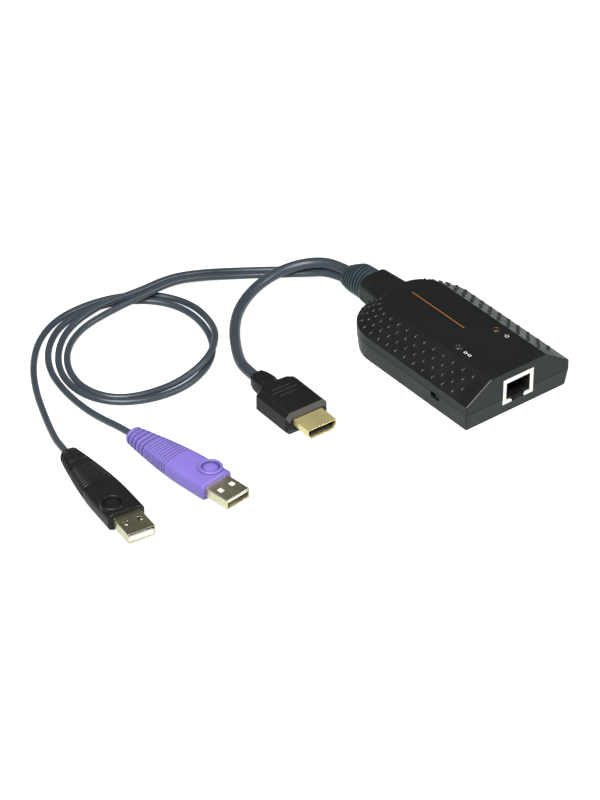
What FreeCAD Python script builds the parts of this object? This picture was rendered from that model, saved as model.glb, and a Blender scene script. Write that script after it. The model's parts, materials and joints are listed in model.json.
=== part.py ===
"""Computer-side adapter lead for a keyboard, video and mouse switch.

A moulded housing with a network jack in its front face, a studded sloping shoulder round a
smooth crown, a ribbed strain relief at the back and three cords: a video cord and two
thinner cords for the keyboard and card-reader sockets.  Millimetres, +Z up, jack facing -Y.
"""

import FreeCAD, Part
import math
import os

import Sketcher
from FreeCAD import Placement, Rotation, Vector

X_AXIS = Vector(1, 0, 0)
Y_AXIS = Vector(0, 1, 0)
Z_AXIS = Vector(0, 0, 1)

# Driving dimensions: alias, value in millimetres (or a count), meaning.
SIZES = [
    ("case_width", 54.4, "housing across the parting line"),
    ("front_reach", 47.0, "origin to the front face"),
    ("rear_reach", 35.5, "origin to the housing's back wall"),
    ("neck_reach", 47.0, "origin to the end of the cable neck"),
    ("rear_radius", 20.0, "housing's back corners, seen from above"),
    ("seam_height", 8.0, "parting line above the table"),
    ("wall_top", 11.8, "top of the plain side wall"),
    ("case_height", 20.0, "crown above the table"),
    ("crown_width", 29.0, "flat crown between the shoulders"),
    ("crown_reach", 28.5, "origin to the crown's arched end"),
    ("crown_radius", 12.5, "crown's arched end"),
    ("bottom_draft", 0.9, "how far the lower case leans in at the table"),
    ("wall", 2.0, "housing wall"),
    ("neck_width", 17.0, "cable neck across"),
    ("neck_low", 4.2, "underside of the neck"),
    ("neck_high", 17.2, "top of the neck"),
    ("neck_radius", 3.5, "neck's long edges"),
    ("bore_width", 12.0, "opening through the neck"),
    ("bore_low", 6.0, "bottom of the neck opening"),
    ("bore_high", 15.0, "top of the neck opening"),
    ("jack_width", 15.9, "network jack across its front"),
    ("jack_low", 4.8, "underside of the jack"),
    ("jack_high", 16.6, "top of the jack"),
    ("jack_depth", 18.0, "jack front to back"),
    ("port_width", 11.9, "jack opening across"),
    ("port_low", 6.8, "bottom of the jack opening"),
    ("port_high", 14.3, "top of the jack opening"),
    ("port_depth", 14.0, "depth of the jack opening"),
    ("latch_width", 6.6, "latch notch below the opening"),
    ("latch_drop", 1.0, "depth of the latch notch"),
    ("keeper_width", 3.4, "narrow slot below the notch"),
    ("keeper_drop", 0.5, "depth of the narrow slot"),
    ("slot_near", -30.0, "front end of the recovery switch slot"),
    ("slot_length", 5.2, "recovery switch slot along the wall"),
    ("slot_drop", 2.8, "slot below the parting line"),
    ("lamp_spread", 10.0, "indicator lamps either side of the middle"),
    ("lamp_back", -21.4, "indicator lamps from the origin"),
    ("lamp_bore", 2.5, "indicator holes"),
    ("lens", 2.3, "light windows"),
    ("lens_flange", 4.0, "collar that seats each window"),
    ("lens_sunk", 0.8, "windows' faces below the crown"),
    ("lens_gap", 1.5, "board to the foot of each window"),
    ("board_low", 3.2, "underside of the circuit board"),
    ("board_thick", 1.6, "circuit board"),
    ("board_width", 46.0, "circuit board across"),
    ("board_front", 43.0, "origin to the board's front edge"),
    ("board_rear", 27.0, "origin to the board's back edge"),
    ("board_radius", 14.0, "board's back corners"),
    ("post_spread", 19.0, "screw posts either side of the middle"),
    ("post_front", -38.0, "front pair of posts"),
    ("post_rear", 12.0, "back pair of posts"),
    ("post", 6.0, "screw post"),
    ("post_top", 14.5, "where the posts join the roof"),
    ("pilot", 2.2, "hole for the screw's thread"),
    ("shank", 2.0, "screw's thread"),
    ("screw_head", 4.0, "screw head"),
    ("head_recess", 4.6, "recess round the screw head"),
    ("recess_depth", 1.1, "recess for the screw head"),
    ("head_thick", 0.9, "screw head"),
    ("screw_spare", 3.0, "post above the screw's tip"),
    ("stud_rows", 4, "rows of studs down the shoulder"),
    ("stud_first", 3.2, "crown's edge to the first row"),
    ("stud_spacing", 3.2, "from row to row down the shoulder"),
    ("stud_start", 7.9, "front face to the first row's first stud"),
    ("stud_pitch", 6.3, "from stud to stud along a row, at the front"),
    ("stud_closing", 0.14, "how much closer each following stud is"),
    ("stud_least", 5.1, "smallest pitch, round the back corners"),
    ("stud_long", 1.8, "stud down the shoulder"),
    ("stud_wide", 1.0, "stud along the shoulder"),
    ("stud_high", 0.55, "stud above the shoulder"),
    ("boot_length", 14.0, "strain relief outside the neck"),
    ("boot_bend", 10.0, "degrees that the strain relief gives sideways"),
    ("boot_wide", 14.6, "strain relief at the neck"),
    ("boot_mid", 9.7, "height of the strain relief's middle at the neck"),
    ("boot_drop", 1.2, "how much lower its cable end is"),
    ("boot_ribs", 6, "ribs round the strain relief"),
    ("video_cord", 4.6, "video cord"),
    ("thin_cord", 2.8, "each of the two thin cords"),
    ("usb_width", 12.0, "plug shell across"),
    ("usb_high", 4.5, "plug shell top to bottom"),
    ("usb_reach", 11.8, "plug shell in front of its grip"),
    ("usb_grip", 48.5, "moulded grip, front to cord"),
    ("ring_across", 9.9, "raised thumb ring on each grip"),
    ("ring_back", 6.3, "ring's middle behind the grip's front"),
    ("video_width", 13.9, "video plug shell across"),
    ("video_high", 4.45, "video plug shell top to bottom"),
    ("video_reach", 9.6, "video plug shell in front of its grip"),
    ("sheet_metal", 0.35, "plug shells' sheet"),
]

# Routes of the cords: control points in millimetres, from the strain relief to the plug.
VIDEO_ROUTE = [
    (-1.22, 60.93, 10.1), (-2.7, 69.3, 10.1), (-7.2, 76.8, 8.6), (-14.6, 82.2, 6.6),
    (-24.6, 84.3, 4.6), (-36.4, 82.0, 2.9), (-48.4, 75.0, 2.3), (-58.2, 64.8, 2.3),
    (-66.0, 53.0, 2.4), (-71.4, 43.4, 4.0), (-74.06, 36.1, 5.3), (-74.27, 29.09, 5.3),
]
BLACK_ROUTE = [
    (-2.65, 60.68, 6.1), (-4.13, 69.05, 6.1), (-9.4, 78.6, 2.8), (-18.4, 87.6, 1.4),
    (-32.0, 96.6, 1.5), (-46.4, 103.4, 3.0), (-60.0, 104.6, 6.0), (-76.0, 103.8, 6.0),
    (-92.0, 106.4, 3.0), (-107.0, 105.4, 1.4), (-120.0, 97.0, 1.4), (-128.6, 84.0, 1.4),
    (-131.0, 69.0, 1.4), (-125.0, 56.2, 1.4), (-112.0, 50.4, 1.4), (-96.0, 48.6, 2.4),
    (-81.0, 51.0, 6.0), (-69.4, 61.6, 6.0), (-62.0, 76.4, 2.6), (-60.0, 92.0, 1.4),
    (-66.4, 105.6, 1.4), (-79.0, 114.8, 1.4), (-95.0, 118.6, 1.4), (-111.4, 117.2, 1.4),
    (-126.0, 109.0, 1.4), (-138.0, 95.6, 1.4), (-147.2, 79.8, 1.4), (-154.2, 63.0, 1.5),
    (-159.6, 49.6, 2.9), (-162.34, 41.3, 4.2), (-163.19, 34.34, 4.2),
]
VIOLET_ROUTE = [
    (0.21, 61.185, 6.1), (-1.27, 69.55, 6.1), (-6.4, 80.4, 2.8), (-15.8, 90.2, 1.4),
    (-29.6, 99.8, 1.5), (-44.4, 106.8, 3.0), (-59.6, 108.2, 6.0), (-76.0, 107.6, 6.0),
    (-92.6, 110.4, 5.0), (-108.6, 110.0, 1.6), (-122.0, 100.4, 1.4), (-131.8, 85.8, 1.4),
    (-134.4, 69.4, 1.4), (-128.4, 55.2, 1.4), (-114.6, 46.6, 1.4), (-98.0, 44.8, 1.4),
    (-82.8, 50.2, 1.4), (-71.6, 60.4, 1.4), (-65.2, 75.2, 1.4), (-64.4, 90.4, 1.4),
    (-70.0, 102.6, 1.4), (-81.4, 111.6, 1.4), (-96.4, 115.2, 1.4), (-111.8, 113.0, 1.4),
    (-125.0, 103.4, 1.4), (-134.0, 90.0, 1.4), (-137.9, 74.0, 1.4), (-138.4, 57.4, 1.4),
    (-137.4, 44.6, 2.6), (-136.75, 36.45, 4.2), (-135.85, 29.5, 4.2),
]

# Where each plug lies: middle of its grip's front face, and the way its shell points.
VIDEO_PLUG_AT = (-75.2, -6.4)
VIDEO_PLUG_TURN = -1.5
BLACK_PLUG_AT = (-169.1, -13.8)
BLACK_PLUG_TURN = -7.0
VIOLET_PLUG_AT = (-129.6, -18.6)
VIOLET_PLUG_TURN = 7.4

doc = FreeCAD.newDocument("adapter_lead")
sheet = doc.addObject("Spreadsheet::Sheet", "Sizes")
for row, (alias, number, meaning) in enumerate(SIZES, start=1):
    sheet.set(f"A{row}", str(number))
    sheet.setAlias(f"A{row}", alias)
    sheet.set(f"B{row}", meaning)
doc.recompute()

parts = {}


def size(alias):
    """Read one driving dimension from the sheet."""
    return float(sheet.get(alias))


def bind(thing, **properties):
    """Bind an object's properties to expressions in which a bare word is a cell of the sheet."""
    words = {alias for alias, _, _ in SIZES}
    for name, expression in properties.items():
        out = ""
        word = ""
        for letter in f"{expression} ":
            if letter.isalnum() or letter == "_":
                word += letter
                continue
            out += f"Sizes.{word}" if word in words else word
            out += letter
            word = ""
        thing.setExpression(name.replace("__", "."), out.strip())


def keep(label, thing):
    """Name the finished sub-part; its label names its file."""
    thing.Label = label
    parts[label] = thing
    return thing


# ---------------------------------------------------------------- small building blocks

def box(label, length, width, height, x, y, z):
    """A block centred on x and y, standing on z, all bound to the sheet."""
    block = doc.addObject("Part::Box", label)
    bind(block, Length=length, Width=width, Height=height)
    bind(block, Placement__Base__x=f"({x}) - ({length}) / 2",
         Placement__Base__y=f"({y}) - ({width}) / 2", Placement__Base__z=z)
    return block


def rod(label, diameter, height, x, y, z):
    """An upright cylinder standing on z."""
    cylinder = doc.addObject("Part::Cylinder", label)
    bind(cylinder, Radius=f"({diameter}) / 2", Height=height)
    bind(cylinder, Placement__Base__x=x, Placement__Base__y=y, Placement__Base__z=z)
    return cylinder


def fused(label, *things):
    """One solid, or one group of solids, from several."""
    joined = doc.addObject("Part::MultiFuse", label)
    joined.Shapes = list(things)
    return joined


def cut(label, base, *tools):
    """The base with every tool taken away."""
    tool = tools[0] if len(tools) == 1 else fused(f"{label}_tools", *tools)
    result = doc.addObject("Part::Cut", label)
    result.Base = base
    result.Tool = tool
    return result


def shaped(label, shape, placement=None):
    """A sub-part whose form needs a loft or a wire sweep."""
    feature = doc.addObject("Part::Feature", label)
    feature.Shape = shape
    if placement is not None:
        feature.Placement = placement
    return feature


# ---------------------------------------------------------------- sketches for the housing

def new_body(name):
    return doc.addObject("PartDesign::Body", name)


def new_sketch(body, name, role, offset):
    """A sketch on one of its body's own planes, lifted along the plane's normal."""
    drawing = body.newObject("Sketcher::SketchObject", name)
    plane = [item for item in body.Origin.OriginFeatures if item.Role == role][0]
    drawing.AttachmentSupport = [(plane, "")]
    drawing.MapMode = "FlatFace"
    bind(drawing, AttachmentOffset__Base__z=offset)
    return drawing


def dimension(drawing, kind, place, name, value, expression):
    """Add a named dimension at its present value and bind it to the sheet."""
    index = drawing.addConstraint(Sketcher.Constraint(kind, *place, value))
    drawing.renameConstraint(index, name)
    bind(drawing, **{f"Constraints__{name}": expression})


def arched_outline(drawing, half_width, front, rear, radius, exprs):
    """Square at the front, rounded at the back: the plan of the whole housing.

    exprs holds the expressions of the full width, front reach, rear reach and radius.
    """
    straight = rear - radius
    inner = half_width - radius
    drawing.addGeometry([
        Part.LineSegment(Vector(-half_width, -front, 0), Vector(half_width, -front, 0)),
        Part.LineSegment(Vector(half_width, -front, 0), Vector(half_width, straight, 0)),
        Part.ArcOfCircle(Part.Circle(Vector(inner, straight, 0), Z_AXIS, radius), 0, math.pi / 2),
        Part.LineSegment(Vector(inner, rear, 0), Vector(-inner, rear, 0)),
        Part.ArcOfCircle(Part.Circle(Vector(-inner, straight, 0), Z_AXIS, radius),
                         math.pi / 2, math.pi),
        Part.LineSegment(Vector(-half_width, straight, 0), Vector(-half_width, -front, 0)),
    ], False)
    drawing.addConstraint([
        Sketcher.Constraint("Coincident", 0, 2, 1, 1),
        Sketcher.Constraint("Tangent", 1, 2, 2, 1),
        Sketcher.Constraint("Tangent", 2, 2, 3, 1),
        Sketcher.Constraint("Tangent", 3, 2, 4, 1),
        Sketcher.Constraint("Tangent", 4, 2, 5, 1),
        Sketcher.Constraint("Coincident", 5, 2, 0, 1),
        Sketcher.Constraint("Symmetric", 0, 1, 0, 2, -2),
        Sketcher.Constraint("Vertical", 1),
        Sketcher.Constraint("Vertical", 5),
        Sketcher.Constraint("Horizontal", 3),
    ])
    values = (2 * half_width, front, rear, radius)
    places = (("DistanceX", (0, 1, 0, 2)), ("DistanceY", (0, 1, -1, 1)),
              ("DistanceY", (-1, 1, 3, 1)), ("Radius", (2,)))
    names = ("width", "front", "rear", "corner")
    for (kind, place), name, value, expression in zip(places, names, values, exprs):
        dimension(drawing, kind, place, name, value, expression)


def frame_outline(drawing, exprs, values):
    """A rectangle: left, right, low and high edges bound to four expressions."""
    left, right, low, high = values
    drawing.addGeometry([
        Part.LineSegment(Vector(left, low, 0), Vector(right, low, 0)),
        Part.LineSegment(Vector(right, low, 0), Vector(right, high, 0)),
        Part.LineSegment(Vector(right, high, 0), Vector(left, high, 0)),
        Part.LineSegment(Vector(left, high, 0), Vector(left, low, 0)),
    ], False)
    drawing.addConstraint([
        Sketcher.Constraint("Coincident", 0, 2, 1, 1),
        Sketcher.Constraint("Coincident", 1, 2, 2, 1),
        Sketcher.Constraint("Coincident", 2, 2, 3, 1),
        Sketcher.Constraint("Coincident", 3, 2, 0, 1),
        Sketcher.Constraint("Horizontal", 0),
        Sketcher.Constraint("Vertical", 1),
        Sketcher.Constraint("Horizontal", 2),
        Sketcher.Constraint("Vertical", 3),
    ])
    places = (("DistanceX", (-1, 1, 0, 1)), ("DistanceX", (-1, 1, 0, 2)),
              ("DistanceY", (-1, 1, 0, 1)), ("DistanceY", (-1, 1, 2, 1)))
    names = ("left", "right", "low", "high")
    for (kind, place), name, value, expression in zip(places, names, values, exprs):
        dimension(drawing, kind, place, name, value, expression)


def pad(body, name, drawing, length, backwards=False):
    feature = body.newObject("PartDesign::Pad", name)
    feature.Profile = drawing
    feature.Reversed = backwards
    bind(feature, Length=length)
    return feature


def pocket(body, name, drawing, length, backwards=False):
    feature = body.newObject("PartDesign::Pocket", name)
    feature.Profile = drawing
    feature.Reversed = backwards
    bind(feature, Length=length)
    return feature


def loft(body, kind, name, lower, upper):
    feature = body.newObject(f"PartDesign::{kind}Loft", name)
    feature.Profile = lower
    feature.Sections = [upper]
    feature.Ruled = True
    return feature


def case_outline(body, name, height, inset, value):
    """The housing's plan at one height, drawn in from its widest by inset."""
    drawing = new_sketch(body, name, "XY_Plane", height)
    arched_outline(
        drawing, size("case_width") / 2 - value, size("front_reach") - value,
        size("rear_reach") - value, size("rear_radius") - value,
        (f"case_width - 2 * ({inset})", f"front_reach - ({inset})",
         f"rear_reach - ({inset})", f"rear_radius - ({inset})"))
    return drawing


def neck_half(body, upper):
    """The neck's half section: flat at the parting line, long edges rounded."""
    drawing = new_sketch(body, "neck_section", "XZ_Plane", "-neck_reach")
    half = size("neck_width") / 2
    seam = size("seam_height")
    edge = size("neck_high") if upper else size("neck_low")
    radius = size("neck_radius")
    way = 1 if upper else -1
    turn = edge - way * radius
    flat = half - radius
    right_arc = (0, math.pi / 2) if upper else (-math.pi / 2, 0)
    left_arc = (math.pi / 2, math.pi) if upper else (math.pi, 3 * math.pi / 2)
    drawing.addGeometry([
        Part.LineSegment(Vector(-half, seam, 0), Vector(half, seam, 0)),
        Part.LineSegment(Vector(half, seam, 0), Vector(half, turn, 0)),
        Part.ArcOfCircle(Part.Circle(Vector(flat, turn, 0), Z_AXIS, radius), *right_arc),
        Part.LineSegment(Vector(flat, edge, 0), Vector(-flat, edge, 0)),
        Part.ArcOfCircle(Part.Circle(Vector(-flat, turn, 0), Z_AXIS, radius), *left_arc),
        Part.LineSegment(Vector(-half, turn, 0), Vector(-half, seam, 0)),
    ], False)
    first, last = (1, 2) if upper else (2, 1)
    drawing.addConstraint([
        Sketcher.Constraint("Coincident", 0, 2, 1, 1),
        Sketcher.Constraint("Tangent", 1, 2, 2, first),
        Sketcher.Constraint("Tangent", 2, last, 3, 1),
        Sketcher.Constraint("Tangent", 3, 2, 4, first),
        Sketcher.Constraint("Tangent", 4, last, 5, 1),
        Sketcher.Constraint("Coincident", 5, 2, 0, 1),
        Sketcher.Constraint("Symmetric", 0, 1, 0, 2, -2),
        Sketcher.Constraint("Vertical", 1),
        Sketcher.Constraint("Vertical", 5),
        Sketcher.Constraint("Horizontal", 3),
    ])
    rows = (("DistanceX", (0, 1, 0, 2), "width", size("neck_width"), "neck_width"),
            ("DistanceY", (-1, 1, 0, 1), "seam", seam, "seam_height"),
            ("DistanceY", (-1, 1, 3, 1), "edge", edge, "neck_high" if upper else "neck_low"),
            ("Radius", (2,), "corner", radius, "neck_radius"))
    for kind, place, name, value, expression in rows:
        dimension(drawing, kind, place, name, value, expression)
    return drawing


def frame_sketch(body, name, role, offset, left, right, low, high):
    """A rectangle whose edges are expressions, drawn at their present values."""
    drawing = new_sketch(body, name, role, offset)
    frame_outline(drawing, (left, right, low, high),
                  [measure(expression) for expression in (left, right, low, high)])
    return drawing


def measure(expression):
    """The present value of an expression in the sheet's words."""
    ruler = doc.getObject("ruler") or doc.addObject("App::FeaturePython", "ruler")
    if not hasattr(ruler, "reading"):
        ruler.addProperty("App::PropertyFloat", "reading")
    bind(ruler, reading=expression)
    ruler.recompute()
    return ruler.reading


def jack_cutout(body, name):
    """The window in the front wall that frames the jack."""
    drawing = frame_sketch(body, f"{name}_sketch", "XZ_Plane", "front_reach",
                           "-jack_width / 2", "jack_width / 2", "jack_low", "jack_high")
    return pocket(body, name, drawing, "wall * 2")


BOARD_TOP = "board_low + board_thick"
POSTS = [(side, place) for place in ("post_front", "post_rear") for side in (-1, 1)]


def circles(drawing, across, places):
    """Circles of one diameter; each place is a pair of expressions."""
    for index, (x, y) in enumerate(places):
        centre = Vector(measure(x), measure(y), 0)
        drawing.addGeometry(Part.Circle(centre, Z_AXIS, size(across) / 2), False)
        dimension(drawing, "DistanceX", (-1, 1, index, 3), f"across_{index}", centre.x, x)
        dimension(drawing, "DistanceY", (-1, 1, index, 3), f"along_{index}", centre.y, y)
        dimension(drawing, "Diameter", (index,), f"round_{index}", size(across), across)


def post_circles(body, name, base, across):
    """One circle at each of the four screw posts."""
    drawing = new_sketch(body, name, "XY_Plane", base)
    circles(drawing, across, [(f"{side} * post_spread", place) for side, place in POSTS])
    return drawing


# ---------------------------------------------------------------- upper case

def upper_case_body():
    """Plain wall, sloping shoulder, flat crown and the neck's upper half, hollowed out."""
    body = new_body("upper_shell")
    pad(body, "side_wall", case_outline(body, "seam_outline", "seam_height", "0", 0.0),
        "wall_top - seam_height")
    shoulder = case_outline(body, "shoulder_outline", "wall_top", "0", 0.0)
    crown = new_sketch(body, "crown_outline", "XY_Plane", "case_height")
    arched_outline(crown, size("crown_width") / 2, size("front_reach"), size("crown_reach"),
                   size("crown_radius"),
                   ("crown_width", "front_reach", "crown_reach", "crown_radius"))
    loft(body, "Additive", "shoulder", shoulder, crown)
    pad(body, "neck", neck_half(body, True), "neck_reach - crown_reach")

    # The hollow follows the wall and the shoulder, so that the housing keeps its thickness.
    wall = size("wall")
    mouth = case_outline(body, "cavity_mouth", "seam_height", "wall", wall)
    pocket(body, "cavity_wall", mouth, "wall_top - 0.55 * wall - seam_height", True)
    turn = case_outline(body, "cavity_turn", "wall_top - 0.55 * wall", "wall", wall)
    roof = new_sketch(body, "cavity_roof", "XY_Plane", "case_height - wall")
    arched_outline(roof, size("crown_width") / 2 - 0.3 * wall, size("front_reach") - wall,
                   size("crown_reach") - 0.45 * wall, size("crown_radius") - 0.3 * wall,
                   ("crown_width - 0.6 * wall", "front_reach - wall",
                    "crown_reach - 0.45 * wall", "crown_radius - 0.3 * wall"))
    loft(body, "Subtractive", "cavity", turn, roof)
    bore = frame_sketch(body, "bore_sketch", "XZ_Plane", "-neck_reach", "-bore_width / 2",
                        "bore_width / 2", "seam_height", "bore_high")
    pocket(body, "neck_bore", bore, "neck_reach - rear_reach + 3 * wall", True)
    jack_cutout(body, "jack_window")
    pad(body, "posts", post_circles(body, "post_sketch", BOARD_TOP, "post"),
        f"post_top - ({BOARD_TOP})")
    pocket(body, "pilots", post_circles(body, "pilot_sketch", BOARD_TOP, "pilot"),
           f"post_top - ({BOARD_TOP}) - 1", True)
    lamps = new_sketch(body, "lamp_sketch", "XY_Plane", "case_height")
    circles(lamps, "lamp_bore", [(f"{side} * lamp_spread", "lamp_back") for side in (-1, 1)])
    pocket(body, "lamp_holes", lamps, "wall * 2")
    return body


def shoulder_point(along, down):
    """A point on the left-hand shoulder line, from the front (0) round to the back middle.

    along is the distance along the wall's top edge; down is 0 at the crown, 1 at the wall.
    Returns the point, the direction along the shoulder and the outward normal.
    """
    corner_x = size("case_width") / 2 - size("rear_radius")
    crown_x = size("crown_width") / 2 - size("crown_radius")
    corner_y = size("rear_reach") - size("rear_radius")
    crown_y = size("crown_reach") - size("crown_radius")
    straight = size("front_reach") + corner_y
    quarter = size("rear_radius") * math.pi / 2
    if along < straight:
        share = along / straight
        low = Vector(-size("case_width") / 2, -size("front_reach") + along, 0)
        high = Vector(-size("crown_width") / 2,
                      -size("front_reach") + share * (size("front_reach") + crown_y), 0)
        heading = Vector(0, 1, 0)
    elif along < straight + quarter:
        turn = (along - straight) / size("rear_radius")
        out = Vector(-math.cos(turn), math.sin(turn), 0)
        low = Vector(-corner_x, corner_y, 0) + out * size("rear_radius")
        high = Vector(-crown_x, crown_y, 0) + out * size("crown_radius")
        heading = Vector(math.sin(turn), math.cos(turn), 0)
    else:
        share = (along - straight - quarter) / corner_x
        low = Vector(-corner_x * (1 - share), size("rear_reach"), 0)
        high = Vector(-crown_x * (1 - share), size("crown_reach"), 0)
        heading = Vector(1, 0, 0)
    low.z = size("wall_top")
    high.z = size("case_height")
    point = high + (low - high) * down
    normal = heading.cross(high - low).normalize()
    if normal.z < 0:
        normal = normal * -1
    return point, heading, normal


STUD_SIDES = 8
# Share of a stud's outline at each share of its height; the first level is sunk in.
STUD_LEVELS = [(-0.7, 1.0), (0.0, 1.0), (0.6, 0.85), (1.0, 0.45)]


def stud_solid(centre, heading, normal):
    """A low oval pip, flattened on top, longer down the shoulder than along it."""
    down_way = normal.cross(heading).normalize()
    half_long = size("stud_long") / 2
    half_wide = size("stud_wide") / 2
    rings = []
    for lift, share in STUD_LEVELS:
        ring = []
        for step in range(STUD_SIDES):
            angle = (step + 0.5) * 2 * math.pi / STUD_SIDES
            ring.append(centre + heading * (half_wide * share * math.sin(angle))
                        + down_way * (half_long * share * math.cos(angle))
                        + normal * (lift * size("stud_high")))
        rings.append(Part.makePolygon(ring + ring[:1]))
    return Part.makeLoft(rings, True, True)


def studs():
    """Staggered rows of pips down both shoulders, closer together towards the back."""
    slope = math.hypot((size("case_width") - size("crown_width")) / 2,
                       size("case_height") - size("wall_top"))
    quarter = size("rear_radius") * math.pi / 2
    last = size("front_reach") + size("rear_reach") - size("rear_radius") + 0.93 * quarter
    pips = []
    for row in range(int(size("stud_rows"))):
        down = (size("stud_first") + row * size("stud_spacing")) / slope
        pitch = size("stud_pitch")
        along = size("stud_start") + (pitch / 2 if row % 2 else 0)
        while along < last:
            centre, heading, normal = shoulder_point(along, down)
            if abs(centre.x) > size("neck_width") / 2 + 1.2:
                pips.append(stud_solid(centre, heading, normal))
            along += pitch
            pitch = max(pitch - size("stud_closing"), size("stud_least"))
    mirrored = [pip.mirror(Vector(0, 0, 0), X_AXIS) for pip in pips]
    return shaped("shoulder_studs", Part.makeCompound(pips + mirrored))


def make_upper_case():
    keep("upper_case", fused("upper_case_fused", upper_case_body(), studs()))


# ---------------------------------------------------------------- lower case

def make_lower_case():
    """Tray with a drafted wall, the neck's lower half, board rests and the switch notch."""
    body = new_body("lower_shell")
    draft = size("bottom_draft")
    foot = case_outline(body, "foot_outline", "0", "bottom_draft", draft)
    rim = case_outline(body, "rim_outline", "seam_height", "0", 0.0)
    loft(body, "Additive", "tray", foot, rim)
    pad(body, "neck", neck_half(body, False), "neck_reach - rear_reach + 4 * wall")
    wall = size("wall")
    hollow = case_outline(body, "hollow_outline", "wall", "wall + bottom_draft", wall + draft)
    pocket(body, "hollow", hollow, "seam_height", True)
    bore = frame_sketch(body, "bore_sketch", "XZ_Plane", "-neck_reach", "-bore_width / 2",
                        "bore_width / 2", "bore_low", "seam_height")
    pocket(body, "neck_bore", bore, "neck_reach - rear_reach + 3 * wall", True)
    jack_cutout(body, "jack_window")
    notch = frame_sketch(body, "notch_sketch", "YZ_Plane", "-case_width / 2 - 1",
                         "slot_near", "slot_near + slot_length",
                         "seam_height - slot_drop", "seam_height")
    pocket(body, "switch_notch", notch, "wall * 2 + 2", True)
    pad(body, "board_rests", post_circles(body, "rest_sketch", "wall / 2", "post"),
        "board_low - wall / 2")
    pocket(body, "screw_holes", post_circles(body, "hole_sketch", "0", "pilot"),
           "board_low + 1", True)
    pocket(body, "screw_recesses", post_circles(body, "recess_sketch", "0", "head_recess"),
           "recess_depth", True)
    keep("lower_case", body)


# ---------------------------------------------------------------- inside the housing

def make_board():
    """Circuit board with a rounded back and clearance for the screw posts."""
    body = new_body("board")
    outline = new_sketch(body, "board_outline", "XY_Plane", "board_low")
    arched_outline(outline, size("board_width") / 2, size("board_front"), size("board_rear"),
                   size("board_radius"),
                   ("board_width", "board_front", "board_rear", "board_radius"))
    pad(body, "laminate", outline, "board_thick")
    pocket(body, "screw_holes", post_circles(body, "hole_sketch", "board_low", "pilot"),
           "board_thick + 1", True)
    keep("main_board", body)


def make_screws():
    """Four pan-head screws from below, one group."""
    screws = []
    for index, (side, place) in enumerate(POSTS):
        x = f"{side} * post_spread"
        head = rod(f"head_{index}", "screw_head", "head_thick", x, place,
                   "recess_depth - head_thick")
        shank = rod(f"shank_{index}", "shank", "post_top - screw_spare", x, place,
                    "recess_depth")
        screws.append(fused(f"screw_{index}", head, shank))
    keep("case_screws", fused("case_screws_group", *screws))


INSERT_HIGH = 4.0
INSERT_MARGIN = 0.7
INSERT_BELOW_ROOF = 4.2
SPRINGS = 8
SPRING_PITCH = 1.02
SPRING_WIDE = 0.4
SPRING_THICK = 0.3
SPRING_BELOW_ROOF = 1.2
SPRING_DROP = 1.5
SPRING_SETBACK = 4.1


def spring_profile():
    """A spring's side view: along the roof from the insert, then folded back and down."""
    front_y = -size("front_reach") + SPRING_SETBACK
    back_y = -size("front_reach") + size("port_depth")
    top = size("port_high") - SPRING_BELOW_ROOF
    low = top - SPRING_DROP
    return [(back_y, top - SPRING_THICK), (front_y + 1.15, top - SPRING_THICK),
            (back_y - 1.9, low + 0.2), (back_y - 1.6, low),
            (front_y, top - SPRING_THICK + 0.05), (front_y, top), (back_y, top)]


def make_jack():
    """Moulded jack: a hollow shell with a stepped latch notch, an insert and its contacts."""
    outer = box("jack_outer", "jack_width", "jack_depth", "jack_high - jack_low",
                "0", "-front_reach + jack_depth / 2", "jack_low")
    port_middle = "-front_reach + port_depth / 2"
    port = box("jack_port", "port_width", "port_depth", "port_high - port_low",
               "0", port_middle, "port_low")
    notch = box("jack_notch", "latch_width", "port_depth", "latch_drop + 0.1",
                "0", port_middle, "port_low - latch_drop")
    keeper = box("jack_keeper", "keeper_width", "port_depth", "keeper_drop + 0.1",
                 "0", port_middle, "port_low - latch_drop - keeper_drop")
    insert_width = f"port_width - 2 * {INSERT_MARGIN}"
    insert_low = f"port_high - {INSERT_BELOW_ROOF}"
    seat = box("jack_insert_seat", insert_width, "jack_depth - port_depth + 2", INSERT_HIGH,
               "0", "-front_reach + port_depth + (jack_depth - port_depth) / 2 + 1",
               insert_low)
    keep("network_jack_body", cut("jack_body", outer, port, notch, keeper, seat))

    insert = box("jack_insert", insert_width, "jack_depth - port_depth", INSERT_HIGH,
                 "0", "-front_reach + (port_depth + jack_depth) / 2", insert_low)
    keep("network_jack_insert", insert)

    springs = []
    for index in range(SPRINGS):
        left = (index - (SPRINGS - 1) / 2) * SPRING_PITCH - SPRING_WIDE / 2
        outline = [Vector(left, y, z) for y, z in spring_profile()]
        side = Part.Face(Part.makePolygon(outline + outline[:1]))
        springs.append(side.extrude(Vector(SPRING_WIDE, 0, 0)))
    keep("network_jack_contacts", shaped("jack_springs", Part.makeCompound(springs)))


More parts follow.
